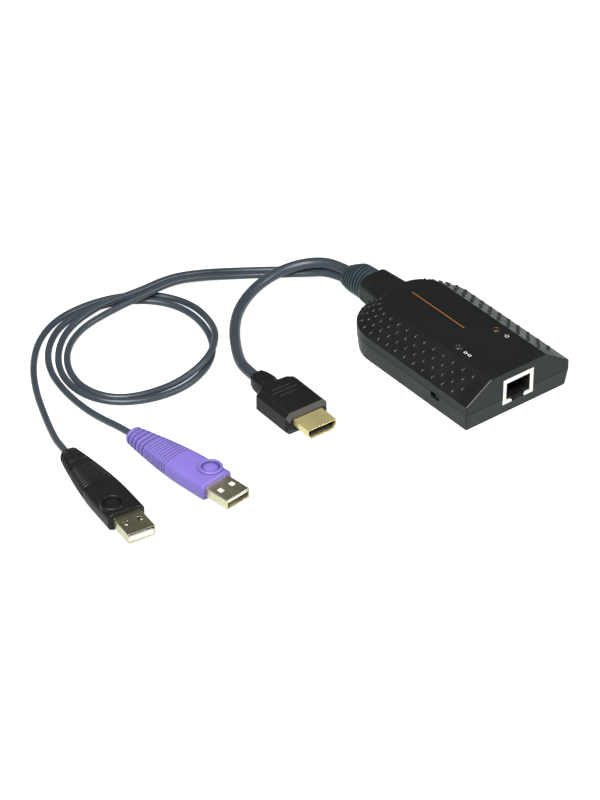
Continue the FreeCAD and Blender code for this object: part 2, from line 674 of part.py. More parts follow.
def make_board_parts():
    """Everything soldered to the board."""
    top = BOARD_TOP
    keep("network_transformer", box("transformer", "15", "9", "5.6", "0", "-23", top))
    keep("main_processor", box("processor", "14", "14", "1.3", "-1", "-6", top))
    keep("video_chip", box("video_ic", "9", "9", "1.1", "7", "9", top))
    keep("clock_crystal", box("crystal", "5", "3.2", "1.3", "-12", "3", top))
    keep("video_header", box("video_plug_block", "9", "5", "6.8", "0", "20.5", top))
    for name, side in (("black", "-1"), ("violet", "1")):
        keep(f"usb_header_{name}",
             box(f"usb_block_{name}", "5.5", "4.5", "3.2", f"{side} * 10", "20", top))
    cans = [rod(f"can_{index}", "5", "5.4", x, y, top)
            for index, (x, y) in enumerate((("14.5", "-13"), ("14.5", "-6.5"), ("-14", "-12")))]
    keep("capacitors", fused("capacitor_group", *cans))
    chips = []
    for index in range(12):
        column, line = index % 4, index // 4
        chips.append(box(f"chip_{index}", "1.6", "0.8", "0.6",
                         f"{column * 2.6 - 14.5}", f"{line * 2.2 + 8}", top))
    keep("small_parts", fused("small_parts_group", *chips))


def make_lamps():
    """An indicator lamp on the board and a clear window through the crown above it."""
    for name, side in (("link", "-1"), ("power", "1")):
        x = f"{side} * lamp_spread"
        keep(f"{name}_lamp", box(f"{name}_led", "1.8", "3.0", "1.4", x, "lamp_back", BOARD_TOP))
        stem = rod(f"{name}_stem", "lens",
                   f"case_height - lens_sunk - ({BOARD_TOP}) - lens_gap",
                   x, "lamp_back", f"{BOARD_TOP} + lens_gap")
        collar = rod(f"{name}_collar", "lens_flange", "1", x, "lamp_back",
                     "case_height - wall - 1")
        keep(f"{name}_light_window", fused(f"{name}_window", stem, collar))


SWITCH_LONG, SWITCH_DEEP, SWITCH_HIGH = 9.0, 5.0, 3.6
TRACK_LONG, TRACK_DEEP, TRACK_HIGH = 5.6, 2.4, 1.7
CARRIAGE_LONG, CARRIAGE_DEEP = 3.0, 1.6
KNOB_LONG, KNOB_DEEP, KNOB_HIGH = 1.5, 2.6, 1.1
KNOB_AHEAD = 1.0


def make_switch():
    """Recovery slide switch behind its notch: a metal-cased body and the sliding knob."""
    face = "-case_width / 2 + wall + 0.9"
    middle = "slot_near + slot_length / 2"
    body = box("switch_case", SWITCH_DEEP, SWITCH_LONG, SWITCH_HIGH,
               f"{face} + {SWITCH_DEEP / 2}", middle, BOARD_TOP)
    track = box("switch_track", TRACK_DEEP, TRACK_LONG, TRACK_HIGH,
                f"{face} + {TRACK_DEEP / 2}", middle, f"{BOARD_TOP} + 1.1")
    keep("recovery_switch_body", cut("switch_body", body, track))
    start = f"{middle} - {KNOB_AHEAD}"
    height = f"{BOARD_TOP} + 1.4"
    carriage = box("switch_carriage", CARRIAGE_DEEP, CARRIAGE_LONG, KNOB_HIGH,
                   f"{face} + 1.0", start, height)
    knob = box("switch_knob", KNOB_DEEP, KNOB_LONG, KNOB_HIGH, f"{face} - 1.1", start, height)
    keep("recovery_switch_slider", fused("switch_slider", carriage, knob))


# ---------------------------------------------------------------- strain relief

def oval_ring(centre, turn, half_wide, half_high):
    """An upright oval facing along the cord, turned about the vertical by turn radians."""
    side = Vector(math.cos(turn), math.sin(turn), 0)
    if abs(half_wide - half_high) < 1e-6:
        return Part.Wire(Part.Circle(centre, side.cross(Z_AXIS), half_wide).toShape())
    big, small = max(half_wide, half_high), min(half_wide, half_high)
    long_axis = side if half_wide >= half_high else Z_AXIS
    short_axis = Z_AXIS if half_wide >= half_high else side
    curve = Part.Ellipse(centre + long_axis * big, centre + short_axis * small, centre)
    return Part.Wire(curve.toShape())


def boot_middle(share):
    """The strain relief's middle line: it gives to one side and drops towards the cords."""
    bend = math.radians(size("boot_bend"))
    reach = size("boot_length") / bend
    angle = bend * share
    return Vector(-reach * (1 - math.cos(angle)), size("neck_reach") + reach * math.sin(angle),
                  size("boot_mid") - size("boot_drop") * share), angle


BOOT_TAPER = 0.9
BOOT_END_HALF_WIDE, BOOT_END_HALF_HIGH = 4.0, 4.7
BOOT_GROOVE = 0.9
BOOT_CLOSES_FROM = 0.55
COLLAR_LONG = 8.0
COLLAR_CLEARANCE = 0.1


def boot_stations():
    """Places along the strain relief, as a share of its length, and how deep each one is."""
    ribs = int(size("boot_ribs"))
    pitch = 1 / (ribs + 0.6)
    flank, floor = 0.18 * pitch, 0.34 * pitch
    stations = [(0.0, 0.0)]
    for rib in range(ribs):
        start = (rib + 0.35) * pitch
        stations += [(start, 0.0), (start + flank, BOOT_GROOVE),
                     (start + flank + floor, BOOT_GROOVE), (start + 2 * flank + floor, 0.0)]
    return stations + [(1.0, 0.0)]


def make_boot():
    """Barrel of ribs that closes in on the three cords, with a collar inside the neck."""
    rings = []
    for share, depth in boot_stations():
        closing = max(0.0, (share - BOOT_CLOSES_FROM) / (1 - BOOT_CLOSES_FROM)) ** 2.2
        open_half = (size("boot_wide") / 2 - BOOT_TAPER * share) * (1 - closing) - depth
        centre, angle = boot_middle(share)
        rings.append(oval_ring(centre, angle, open_half + BOOT_END_HALF_WIDE * closing,
                               open_half + BOOT_END_HALF_HIGH * closing))
    barrel = Part.makeLoft(rings, True, True)
    low, high = size("bore_low") + COLLAR_CLEARANCE, size("bore_high") - COLLAR_CLEARANCE
    half = size("bore_width") / 2 - COLLAR_CLEARANCE
    collar = Part.makeBox(2 * half, COLLAR_LONG, high - low,
                          Vector(-half, size("neck_reach") - COLLAR_LONG, low))
    keep("strain_relief_boot", shaped("boot", barrel.fuse(collar).removeSplitter()))


def make_leads():
    """The cords' stripped ends, from the strain relief's collar to their headers."""
    start = size("neck_reach") - COLLAR_LONG
    video_header_y, thin_header_y = 23.0, 22.25
    leads = [Part.makeCylinder(1.5, start - video_header_y, Vector(0, video_header_y, 10.0),
                               Y_AXIS)]
    for side in (-1, 1):
        route = [(2.6 * side, start, 7.2), (2.6 * side, 33.5, 7.2), (10 * side, 27.7, 6.4),
                 (10 * side, thin_header_y, 6.4)]
        leads.append(cord_shape("inner lead", route, 1.4))
    keep("inner_leads", shaped("leads", Part.makeCompound(leads)))


# ---------------------------------------------------------------- plugs

def plug_placement(at, turn):
    """Plugs are built with the grip's front face at y = 0 and the shell towards -Y."""
    return Placement(Vector(at[0], at[1], 0), Rotation(Z_AXIS, turn))


def rounded_section(y, middle, half_wide, half_high, radius):
    """A rounded rectangle across the plug."""
    left, right = -half_wide, half_wide
    low, high = middle - half_high, middle + half_high
    slant = radius * (1 - math.sqrt(0.5))

    def place(x, z):
        return Vector(x, y, z)

    corners = [
        (place(right - radius, low), place(right - slant, low + slant), place(right, low + radius)),
        (place(right, high - radius), place(right - slant, high - slant),
         place(right - radius, high)),
        (place(left + radius, high), place(left + slant, high - slant), place(left, high - radius)),
        (place(left, low + radius), place(left + slant, low + slant), place(left + radius, low)),
    ]
    edges = []
    for index, (start, middle_point, end) in enumerate(corners):
        edges.append(Part.Arc(start, middle_point, end).toShape())
        following = corners[(index + 1) % 4][0]
        edges.append(Part.LineSegment(end, following).toShape())
    return Part.Wire(edges)


USB_MIDDLE = 4.2
GRIP_HALF_WIDE, GRIP_HALF_HIGH = 8.0, 4.0
GRIP_NARROWS, GRIP_THINS = 4.3, 0.7
GRIP_TAPERS_FROM = 14.0
# Grooves round a keyboard grip: first place, pitch, how many and depth.
DEEP_GROOVES = (35.4, 2.36, 5, 0.6)
FINE_GROOVES = (21.4, 1.5, 9, 0.24)
INSIDE_GRIP = 8.0
SHELL_EDGE = 0.5
WINDOW_SIDE, WINDOW_BACK = 3.0, -5.3
WINDOW_WIDE, WINDOW_LONG = 2.0, 2.3
TONGUE_THICK = 1.75
CONTACT_THICK = 0.15
# The four contacts across the tongue and how far forward each one reaches.
USB_CONTACTS = [(-3.5, -10.0), (-1.0, -9.0), (1.0, -9.0), (3.5, -10.0)]


def usb_grip_section(y, sunk):
    """The grip narrows from its square front to the cord; sunk is a groove's depth."""
    share = max(0.0, (y - GRIP_TAPERS_FROM) / (size("usb_grip") - GRIP_TAPERS_FROM))
    half_wide = GRIP_HALF_WIDE - GRIP_NARROWS * share ** 1.6 - sunk
    half_high = GRIP_HALF_HIGH - GRIP_THINS * share ** 2 - sunk
    radius = min(1.8 + 0.9 * share, half_high - 0.15)
    return rounded_section(y, USB_MIDDLE, half_wide, half_high, radius)


def grip_stations():
    """Places along a keyboard grip and how far each one is sunk."""
    length = size("usb_grip")
    stations = [(0.0, 0.5), (0.5, 0.0), (GRIP_TAPERS_FROM, 0.0)]
    for first, pitch, count, depth in (FINE_GROOVES, DEEP_GROOVES):
        for index in range(count):
            place = first + index * pitch
            stations += [(place, 0.0), (place + 0.25 * pitch, depth), (place + 0.5 * pitch, 0.0)]
    return stations + [(length - 0.9, 0.0), (length, 0.7)]


def usb_grip_shape(ring_side):
    """Moulded grip with ring grooves towards the cord and a raised dished ring on top."""
    grip = Part.makeLoft([usb_grip_section(y, sunk) for y, sunk in grip_stations()], True, True)
    top = USB_MIDDLE + GRIP_HALF_HIGH
    radius = size("ring_across") / 2
    middle = (ring_side, size("ring_back"))
    ring = Part.makeCylinder(radius, 1.9, Vector(*middle, top - 1.0))
    ring = ring.makeFillet(0.6, [edge for edge in ring.Edges
                                 if edge.BoundBox.ZMin > top and edge.BoundBox.ZLength < 0.01])
    dish_radius = 11.0
    dish = Part.makeSphere(dish_radius, Vector(*middle, top + 0.15 + dish_radius))
    seat = Part.makeBox(size("usb_width"), INSIDE_GRIP, size("usb_high"),
                        Vector(-size("usb_width") / 2, 0, USB_MIDDLE - size("usb_high") / 2))
    return grip.fuse(ring).cut(dish).cut(seat)


def usb_shell_shape():
    """Folded sheet shell with two latch windows above and below."""
    wide, high = size("usb_width"), size("usb_high")
    reach, sheet_t = size("usb_reach"), size("sheet_metal")
    low = USB_MIDDLE - high / 2
    outer = Part.makeBox(wide, reach + INSIDE_GRIP, high, Vector(-wide / 2, -reach, low))
    hollow = Part.makeBox(wide - 2 * sheet_t, reach + INSIDE_GRIP, high - 2 * sheet_t,
                          Vector(-wide / 2 + sheet_t, -reach - 1, low + sheet_t))
    edges = [edge for edge in outer.Edges
             if abs(edge.tangentAt(edge.FirstParameter).y) > 0.9]
    shell = outer.makeFillet(SHELL_EDGE, edges).cut(hollow)
    for x in (-WINDOW_SIDE, WINDOW_SIDE):
        corner = Vector(x - WINDOW_WIDE / 2, WINDOW_BACK - WINDOW_LONG / 2, low - 1)
        shell = shell.cut(Part.makeBox(WINDOW_WIDE, WINDOW_LONG, high + 2, corner))
    return shell


def usb_tongue_shape():
    """Insulator: a block in the grip's end of the shell and the tongue under the contacts."""
    sheet_t = size("sheet_metal")
    inside_wide = size("usb_width") - 2 * sheet_t
    inside_high = size("usb_high") - 2 * sheet_t
    low = USB_MIDDLE - inside_high / 2
    tongue_front = 0.6 - size("usb_reach")
    block = Part.makeBox(inside_wide, INSIDE_GRIP - 2, inside_high,
                         Vector(-inside_wide / 2, 1.0, low))
    tongue = Part.makeBox(inside_wide - 0.1, 1.0 - tongue_front, TONGUE_THICK,
                          Vector(-(inside_wide - 0.1) / 2, tongue_front, low))
    return block.fuse(tongue).removeSplitter()


def usb_contacts_shape():
    """Four gold strips on the tongue; the outer two reach further forward."""
    low = USB_MIDDLE - size("usb_high") / 2 + size("sheet_metal") + TONGUE_THICK
    return Part.makeCompound([
        Part.makeBox(1.0, 1.0 - front, CONTACT_THICK, Vector(x - 0.5, front, low))
        for x, front in USB_CONTACTS])


def make_usb_plug(colour, at, turn, ring_side, tongue_above):
    """One keyboard plug; its tongue lies in the lower half, or in the upper half."""
    where = plug_placement(at, turn)
    rolled = where
    if tongue_above:
        rolled = where * Placement(Vector(0, 0, 2 * USB_MIDDLE), Rotation(Y_AXIS, 180))
    keep(f"{colour}_plug_grip", shaped(f"{colour}_grip", usb_grip_shape(ring_side), where))
    keep(f"{colour}_plug_shell", shaped(f"{colour}_shell", usb_shell_shape(), where))
    keep(f"{colour}_plug_tongue", shaped(f"{colour}_tongue", usb_tongue_shape(), rolled))
    keep(f"{colour}_plug_contacts", shaped(f"{colour}_contacts", usb_contacts_shape(), rolled))


VIDEO_MIDDLE = 5.3
# Stations along the video grip: y, half width, half height, corner cut.
VIDEO_STATIONS = [
    (0.0, 9.2, 2.9, 1.5), (1.2, 10.2, 5.2, 2.0), (20.8, 10.3, 5.2, 2.1), (22.8, 8.3, 4.9, 2.1),
    (24.2, 4.4, 4.0, 1.4), (25.0, 4.0, 3.7, 1.3), (28.0, 4.4, 4.1, 1.5), (31.4, 4.2, 3.8, 1.6),
    (34.4, 3.3, 3.2, 1.3),
]
# Finger grooves across both faces of the video grip: y and half length.
VIDEO_GROOVES = [(12.9, 4.2), (15.4, 6.2), (17.6, 4.6)]
VIDEO_GROOVE_RADIUS = 0.55
VIDEO_INSIDE_GRIP = 9.0
SHELL_LIFT, SHELL_TUCK = 1.75, 1.45
MOUTH_HIGH, MOUTH_DROP, MOUTH_MARGIN = 1.7, 0.55, 1.4
# Contact rows above and below the mouth: how many and their height from the middle.
VIDEO_CONTACTS = [(10, 1.0), (9, -0.55)]
VIDEO_CONTACT_WIDE = 0.45


def cut_corner_section(y, half_wide, half_high, corner):
    """An upright rectangle with its corners cut off, across the video plug."""
    low, high = VIDEO_MIDDLE - half_high, VIDEO_MIDDLE + half_high
    quarter = [(half_wide - corner, low), (half_wide, low + corner),
               (half_wide, high - corner), (half_wide - corner, high)]
    outline = quarter + [(-x, z) for x, z in reversed(quarter)]
    points = [Vector(x, y, z) for x, z in outline]
    return Part.makePolygon(points + points[:1])


def video_shell_outline(y, inset):
    """The video shell's profile: square shoulders above, lower corners cut in."""
    half = size("video_width") / 2 - inset
    low = VIDEO_MIDDLE - size("video_high") / 2 + inset
    high = VIDEO_MIDDLE + size("video_high") / 2 - inset
    outline = [(-half, high), (-half, low + SHELL_LIFT), (-half + SHELL_TUCK, low),
               (half - SHELL_TUCK, low), (half, low + SHELL_LIFT), (half, high)]
    points = [Vector(x, y, z) for x, z in outline]
    return Part.Face(Part.makePolygon(points + points[:1]))


def video_grip_shape():
    """Faceted grip, its collar and the finger grooves above and below."""
    grip = Part.makeLoft([cut_corner_section(*station) for station in VIDEO_STATIONS], True, True)
    half_high = max(station[2] for station in VIDEO_STATIONS)
    for z in (VIDEO_MIDDLE - half_high, VIDEO_MIDDLE + half_high):
        for y, half_long in VIDEO_GROOVES:
            grip = grip.cut(Part.makeCylinder(VIDEO_GROOVE_RADIUS, 2 * half_long,
                                              Vector(-half_long, y, z), X_AXIS))
    return grip.cut(video_shell_outline(0, 0).extrude(Vector(0, VIDEO_INSIDE_GRIP, 0)))


def make_video_plug():
    """Grip, trapezoid shell, insulator and the two rows of contacts."""
    where = plug_placement(VIDEO_PLUG_AT, VIDEO_PLUG_TURN)
    reach, sheet_t = size("video_reach"), size("sheet_metal")
    keep("video_plug_grip", shaped("video_grip", video_grip_shape(), where))

    whole = Vector(0, reach + VIDEO_INSIDE_GRIP, 0)
    outer = video_shell_outline(-reach, 0).extrude(whole)
    inner = video_shell_outline(-reach - 1, sheet_t).extrude(whole + Vector(0, 2, 0))
    keep("video_plug_shell", shaped("video_shell", outer.cut(inner), where))

    carrier = video_shell_outline(1 - reach, sheet_t).extrude(whole - Vector(0, 2, 0))
    mouth_half = size("video_width") / 2 - MOUTH_MARGIN
    mouth = Part.makeBox(2 * mouth_half, reach, MOUTH_HIGH,
                         Vector(-mouth_half, -reach, VIDEO_MIDDLE - MOUTH_DROP))
    keep("video_plug_insulator", shaped("video_insulator", carrier.cut(mouth), where))

    strips = []
    for count, height in VIDEO_CONTACTS:
        for index in range(count):
            left = index - (count - 1) / 2 - VIDEO_CONTACT_WIDE / 2
            strips.append(Part.makeBox(VIDEO_CONTACT_WIDE, reach - 2.0, CONTACT_THICK,
                                       Vector(left, 1.6 - reach, VIDEO_MIDDLE + height)))
    keep("video_plug_contacts", shaped("video_contacts", Part.makeCompound(strips), where))


# ---------------------------------------------------------------- cords

def cord_shape(name, route, diameter):
    """A tube along straight runs joined by tangent arcs, each as large as its runs allow."""
    points = [Vector(*point) for point in route]
    edges = []
    radii = []
    here = points[0]
    for before, corner, after in zip(points, points[1:], points[2:]):
        inward = (corner - before).normalize()
        outward = (after - corner).normalize()
        turn = inward.getAngle(outward)
        shorter = min(before.distanceToPoint(corner), corner.distanceToPoint(after))
        trim = 0.45 * shorter
        radii.append(trim / math.tan(turn / 2))
        start, end = corner - inward * trim, corner + outward * trim
        middle_way = (outward - inward).normalize()
        sagitta = radii[-1] * (1 / math.cos(turn / 2) - 1)
        edges.append(Part.LineSegment(here, start).toShape())
        edges.append(Part.Arc(start, corner + middle_way * sagitta, end).toShape())
        here = end
    edges.append(Part.LineSegment(here, points[-1]).toShape())
    path = Part.Wire(edges)
    circle = Part.Wire(Part.Circle(points[0], (points[1] - points[0]).normalize(),
                                   diameter / 2).toShape())
    tube = path.makePipeShell([circle], True, False, 2)
    expected = math.pi * diameter ** 2 / 4 * path.Length
    print(f"{name}: length {path.Length:.1f}, radii {min(radii):.1f} to {max(radii):.1f}, "
          f"volume {tube.Volume:.1f} of {expected:.1f}")
    if abs(tube.Volume - expected) > 0.02 * expected:
        raise ValueError(f"{name} has the wrong volume")
    return tube


def make_cords():
    keep("video_cord", shaped("video_tube", cord_shape("video", VIDEO_ROUTE, size("video_cord"))))
    keep("black_cord", shaped("black_tube", cord_shape("black", BLACK_ROUTE, size("thin_cord"))))
    keep("violet_cord",
         shaped("violet_tube", cord_shape("violet", VIOLET_ROUTE, size("thin_cord"))))


# ---------------------------------------------------------------- build and write

def check():
    """Stop if anything in the document failed or any sub-part is not a sound solid."""
    for thing in doc.Objects:
        if {"Invalid", "Error"} & set(thing.State):
            raise ValueError(f"{thing.Name} failed: {thing.State}")
    for label, thing in parts.items():
        shape = thing.Shape
        if shape.isNull() or not shape.isValid() or not shape.Solids:
            raise ValueError(f"{label} is not a sound solid")
        print(f"{label}: {len(shape.Solids)} solid(s), {shape.Volume:.0f} mm3")


def main():
    make_upper_case()
    make_lower_case()
    make_board()
    make_screws()
    make_jack()
    make_board_parts()
    make_lamps()
    make_switch()
    make_boot()
    make_leads()
    make_usb_plug("black", BLACK_PLUG_AT, BLACK_PLUG_TURN, -2.8, False)
    make_usb_plug("violet", VIOLET_PLUG_AT, VIOLET_PLUG_TURN, 2.8, True)
    make_video_plug()
    make_cords()
    doc.recompute()
    check()
    os.makedirs("parts", exist_ok=True)
    for label, thing in parts.items():
        thing.Shape.exportStep(f"parts/{label}.step")


main()
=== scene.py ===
"""Looks of a keyboard, video and mouse adapter lead.

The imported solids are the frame: they keep their places, and the pieces built here give the
mouldings their soft edges, the shoulder its studs, the cords their smooth lines and every
surface its finish.  Lengths are in millimetres in the classes and in metres in the meshes.
"""

import json
import logging
import math
from dataclasses import dataclass, field
from enum import Enum
from typing import Callable, Sequence

import bmesh
import bpy
from mathutils import Matrix, Vector
from mathutils.kdtree import KDTree


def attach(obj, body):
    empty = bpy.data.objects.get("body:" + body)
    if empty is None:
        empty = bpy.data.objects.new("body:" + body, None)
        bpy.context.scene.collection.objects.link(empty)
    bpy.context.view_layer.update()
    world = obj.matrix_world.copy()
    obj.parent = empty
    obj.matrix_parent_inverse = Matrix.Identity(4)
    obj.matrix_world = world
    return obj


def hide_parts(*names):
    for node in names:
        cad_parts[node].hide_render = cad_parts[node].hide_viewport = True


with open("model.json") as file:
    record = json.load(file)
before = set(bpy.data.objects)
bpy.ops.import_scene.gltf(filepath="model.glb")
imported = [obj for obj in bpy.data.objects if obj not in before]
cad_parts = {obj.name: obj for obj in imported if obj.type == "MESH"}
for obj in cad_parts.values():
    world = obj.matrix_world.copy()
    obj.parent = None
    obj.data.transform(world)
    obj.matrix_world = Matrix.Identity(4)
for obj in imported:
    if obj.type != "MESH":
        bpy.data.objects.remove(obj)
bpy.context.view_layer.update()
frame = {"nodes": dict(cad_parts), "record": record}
MM = 0.001
ROOT_BODY = "adapter"
KNOB_BODY = "recovery_knob"
log = logging.getLogger("adapter_lead")

Point = tuple[float, float, float]


# ---------------------------------------------------------------- finishes

class Surface(Enum):
    """How a finish is worked: what its grain looks like and how it shines."""

    SPARKED = "sparked plastic"
    SATIN = "satin plastic"
    JACKET = "cord jacket"
    GLOSS = "gloss plastic"
    PLATED = "plated metal"
    BRUSHED = "brushed metal"
    LAMINATE = "circuit board"
    FROSTED = "frosted window"
    PRINT = "printed ink"


@dataclass(frozen=True)
class Finish:
    """One material of the part.

    colour is linear red, green and blue; grain is the size of the fine texture in millimetres;
    relief is how deep it is, in millimetres.  A grooved finish darkens with the mesh's own
    recess attribute, a painted shade in its grooves, and lightens where that attribute is below
    zero, a painted highlight on rounded edges.
    """

    name: str
    surface: Surface
    colour: tuple[float, float, float]
    roughness: float
    grain: float = 0.35
    relief: float = 0.02
    tint: float = 0.12
    mottle: float = 0.06
    grooved: bool = False
    metal: float = 1.0
    gloss: float = 0.34


FINISHES = {
    finish.name: finish for finish in (
        Finish("housing", Surface.SPARKED, (0.0072, 0.0080, 0.0078), 0.36, 0.22, 0.016, grooved=True),
        # Lighter than the housing that the studs are moulded on: a painted highlight on the studs.
        Finish("housing_studs", Surface.SATIN, (0.012, 0.0125, 0.012), 0.24, 0.3, 0.006),
        # Lighter than the housing that the rims are moulded on: a painted highlight on the lamp rims.
        Finish("lamp_rim", Surface.SATIN, (0.022, 0.022, 0.021), 0.22, 0.3, 0.006),
        Finish("screw_steel", Surface.BRUSHED, (0.50, 0.50, 0.49), 0.34),
        Finish("board_green", Surface.LAMINATE, (0.012, 0.11, 0.045), 0.35),
        Finish("jack_ivory", Surface.GLOSS, (0.80, 0.81, 0.72), 0.36, 0.6, 0.004, 0.03),
        Finish("insert_black", Surface.SATIN, (0.012, 0.012, 0.013), 0.5),
        Finish("gold_contacts", Surface.PLATED, (0.86, 0.60, 0.24), 0.26),
        Finish("chip_black", Surface.SATIN, (0.016, 0.016, 0.017), 0.55),
        Finish("crystal_can", Surface.BRUSHED, (0.62, 0.62, 0.60), 0.3),
        Finish("header_white", Surface.SATIN, (0.72, 0.70, 0.62), 0.5),
        Finish("capacitor_can", Surface.BRUSHED, (0.70, 0.70, 0.71), 0.32),
        Finish("small_part_ceramic", Surface.SATIN, (0.30, 0.22, 0.14), 0.5),
        Finish("lamp_body", Surface.SATIN, (0.80, 0.78, 0.68), 0.4),
        Finish("clear_window", Surface.FROSTED, (0.045, 0.050, 0.050), 0.3),
        Finish("amber_window", Surface.FROSTED, (0.16, 0.055, 0.015), 0.3),
        Finish("switch_steel", Surface.BRUSHED, (0.55, 0.55, 0.53), 0.35),
        Finish("switch_knob", Surface.SATIN, (0.015, 0.015, 0.016), 0.45),
        Finish("boot_slate", Surface.SATIN, (0.032, 0.048, 0.055), 0.34, 0.3, 0.01, grooved=True),
        Finish("lead_jacket", Surface.JACKET, (0.03, 0.03, 0.035), 0.45),
        Finish("cord_jacket", Surface.JACKET, (0.024, 0.034, 0.043), 0.40, 0.5, 0.006),
        Finish("grip_slate", Surface.SATIN, (0.0082, 0.0082, 0.0074), 0.38, 0.28, 0.012, grooved=True,
               gloss=0.2),
        Finish("grip_violet", Surface.SATIN, (0.150, 0.112, 0.375), 0.40, 0.28, 0.010, 0.08, grooved=True),
        Finish("nickel_shell", Surface.PLATED, (0.66, 0.61, 0.42), 0.24, mottle=0.12, metal=0.97),
        Finish("gold_shell", Surface.PLATED, (0.80, 0.68, 0.32), 0.25, mottle=0.1, metal=0.76),
        Finish("tongue_pale", Surface.GLOSS, (0.80, 0.80, 0.76), 0.35, 0.6, 0.003, 0.03),
        Finish("rule_orange", Surface.PRINT, (0.40, 0.145, 0.03), 0.45, 0.15, 0.002, 0.10),
        Finish("mark_white", Surface.PRINT, (0.72, 0.73, 0.72), 0.5, 0.15, 0.002, 0.05),
    )
}


@dataclass
class NodeGroups:
    """The shader node groups that the materials share, built once each."""

    made: dict[str, bpy.types.ShaderNodeTree] = field(default_factory=dict)

    def _tree(self, name: str, sockets: Sequence[tuple[str, str, str, float]]
              ) -> tuple[bpy.types.ShaderNodeTree, bpy.types.Node, bpy.types.Node]:
        """Start a group.

        Args:
            name: The group's name.
            sockets: Direction, socket type, name and default of each socket.

        Returns:
            The tree with its input and output nodes.
        """
        tree = bpy.data.node_groups.new(name, "ShaderNodeTree")
        for way, kind, label, default in sockets:
            socket = tree.interface.new_socket(label, in_out=way, socket_type=kind)
            if kind == "NodeSocketFloat":
                socket.default_value = default
        self.made[name] = tree
        return tree, tree.nodes.new("NodeGroupInput"), tree.nodes.new("NodeGroupOutput")

    def grain(self) -> bpy.types.ShaderNodeTree:
        """Fine moulded or worked texture: a tinted colour, an uneven roughness and a height.  Recess
        darkens the colour as painted shade and, below zero, lightens it as a painted highlight.

        Returns:
            The group, built once.
        """
        if "surface_grain" in self.made:
            return self.made["surface_grain"]
        tree, given, out = self._tree("surface_grain", (
            ("INPUT", "NodeSocketVector", "Vector", 0), ("INPUT", "NodeSocketColor", "Color", 0),
            ("INPUT", "NodeSocketFloat", "Scale", 3000), ("INPUT", "NodeSocketFloat", "Tint", 0.1),
            ("INPUT", "NodeSocketFloat", "Roughness", 0.5),
            ("INPUT", "NodeSocketFloat", "Mottle", 0.06),
            ("INPUT", "NodeSocketFloat", "Recess", 0.0),
            ("OUTPUT", "NodeSocketColor", "Color", 0), ("OUTPUT", "NodeSocketFloat", "Roughness", 0),
            ("OUTPUT", "NodeSocketFloat", "Height", 0)))
        nodes, links = tree.nodes, tree.links
        fine = nodes.new("ShaderNodeTexNoise")
        fine.inputs["Detail"].default_value = 3.0
        links.new(given.outputs["Vector"], fine.inputs["Vector"])
        links.new(given.outputs["Scale"], fine.inputs["Scale"])
        broad = nodes.new("ShaderNodeTexNoise")
        broad.inputs["Scale"].default_value = 90.0
        broad.inputs["Detail"].default_value = 4.0
        links.new(given.outputs["Vector"], broad.inputs["Vector"])

        swing = self._spread(tree, broad.outputs["Fac"], given.outputs["Tint"])
        fleck = self._spread(tree, fine.outputs["Fac"], given.outputs["Tint"])
        both = self._maths(tree, "ADD", swing, fleck)
        even = self._maths(tree, "ADD", both, 1.0)
        # Recess darkens the colour as painted shade in grooves; below zero it lightens the colour as a
        # painted highlight.
        hollow = self._maths(tree, "SUBTRACT", 1.0, given.outputs["Recess"])
        gain = self._maths(tree, "MULTIPLY", even, hollow)
        colour = nodes.new("ShaderNodeVectorMath")
        colour.operation = "SCALE"
        links.new(given.outputs["Color"], colour.inputs[0])
        links.new(gain, colour.inputs["Scale"])
        links.new(colour.outputs["Vector"], out.inputs["Color"])

        uneven = self._spread(tree, broad.outputs["Fac"], given.outputs["Mottle"])
        rough = self._maths(tree, "ADD", given.outputs["Roughness"], uneven)
        links.new(rough, out.inputs["Roughness"])
        links.new(fine.outputs["Fac"], out.inputs["Height"])
        return tree

    @staticmethod
    def _maths(tree: bpy.types.ShaderNodeTree, operation: str, left: object, right: object
               ) -> bpy.types.NodeSocket:
        """Add one Math node.

        Args:
            tree: The tree that it goes in.
            operation: The node's operation.
            left: The first socket or number.
            right: The second socket or number.

        Returns:
            The node's output.
        """
        node = tree.nodes.new("ShaderNodeMath")
        node.operation = operation
        for socket, value in zip(node.inputs, (left, right)):
            if isinstance(value, (int, float)):
                socket.default_value = value
            else:
                tree.links.new(value, socket)
        return node.outputs[0]

    def _spread(self, tree: bpy.types.ShaderNodeTree, factor: object, amount: object
                ) -> bpy.types.NodeSocket:
        """The factor, centred on zero and scaled so that it swings by about the amount.

        Args:
            tree: The tree that it goes in.
            factor: A noise from 0 to 1.
            amount: The swing, as a socket or a number.

        Returns:
            The scaled output.
        """
        centred = self._maths(tree, "SUBTRACT", factor, 0.5)
        doubled = self._maths(tree, "MULTIPLY", centred, 4.0)
        return self._maths(tree, "MULTIPLY", doubled, amount)

    def handling(self) -> bpy.types.ShaderNodeTree:
        """Faint smears that dull or polish a surface: a mask from 0 to 1.

        Returns:
            The group, built once.
        """
        if "handling_smears" in self.made:
            return self.made["handling_smears"]
        tree, given, out = self._tree("handling_smears", (
            ("INPUT", "NodeSocketVector", "Vector", 0), ("INPUT", "NodeSocketFloat", "Base", 0.4),
            ("INPUT", "NodeSocketFloat", "Amount", 0.1),
            ("OUTPUT", "NodeSocketFloat", "Roughness", 0)))
        noise = tree.nodes.new("ShaderNodeTexNoise")
        noise.inputs["Scale"].default_value = 38.0
        noise.inputs["Detail"].default_value = 6.0
        noise.inputs["Distortion"].default_value = 1.4
        tree.links.new(given.outputs["Vector"], noise.inputs["Vector"])
        smear = self._spread(tree, noise.outputs["Fac"], given.outputs["Amount"])
        tree.links.new(self._maths(tree, "ADD", given.outputs["Base"], smear),
                       out.inputs["Roughness"])
        return tree


GROUPS = NodeGroups()


# How far each worked metal's grain is drawn out along Y, as a share of its scale across.
GRAIN_STRETCH = {Surface.BRUSHED: 0.06, Surface.PLATED: 0.25}
METAL_SMEAR = 0.10
PLAIN_SMEAR = 0.05


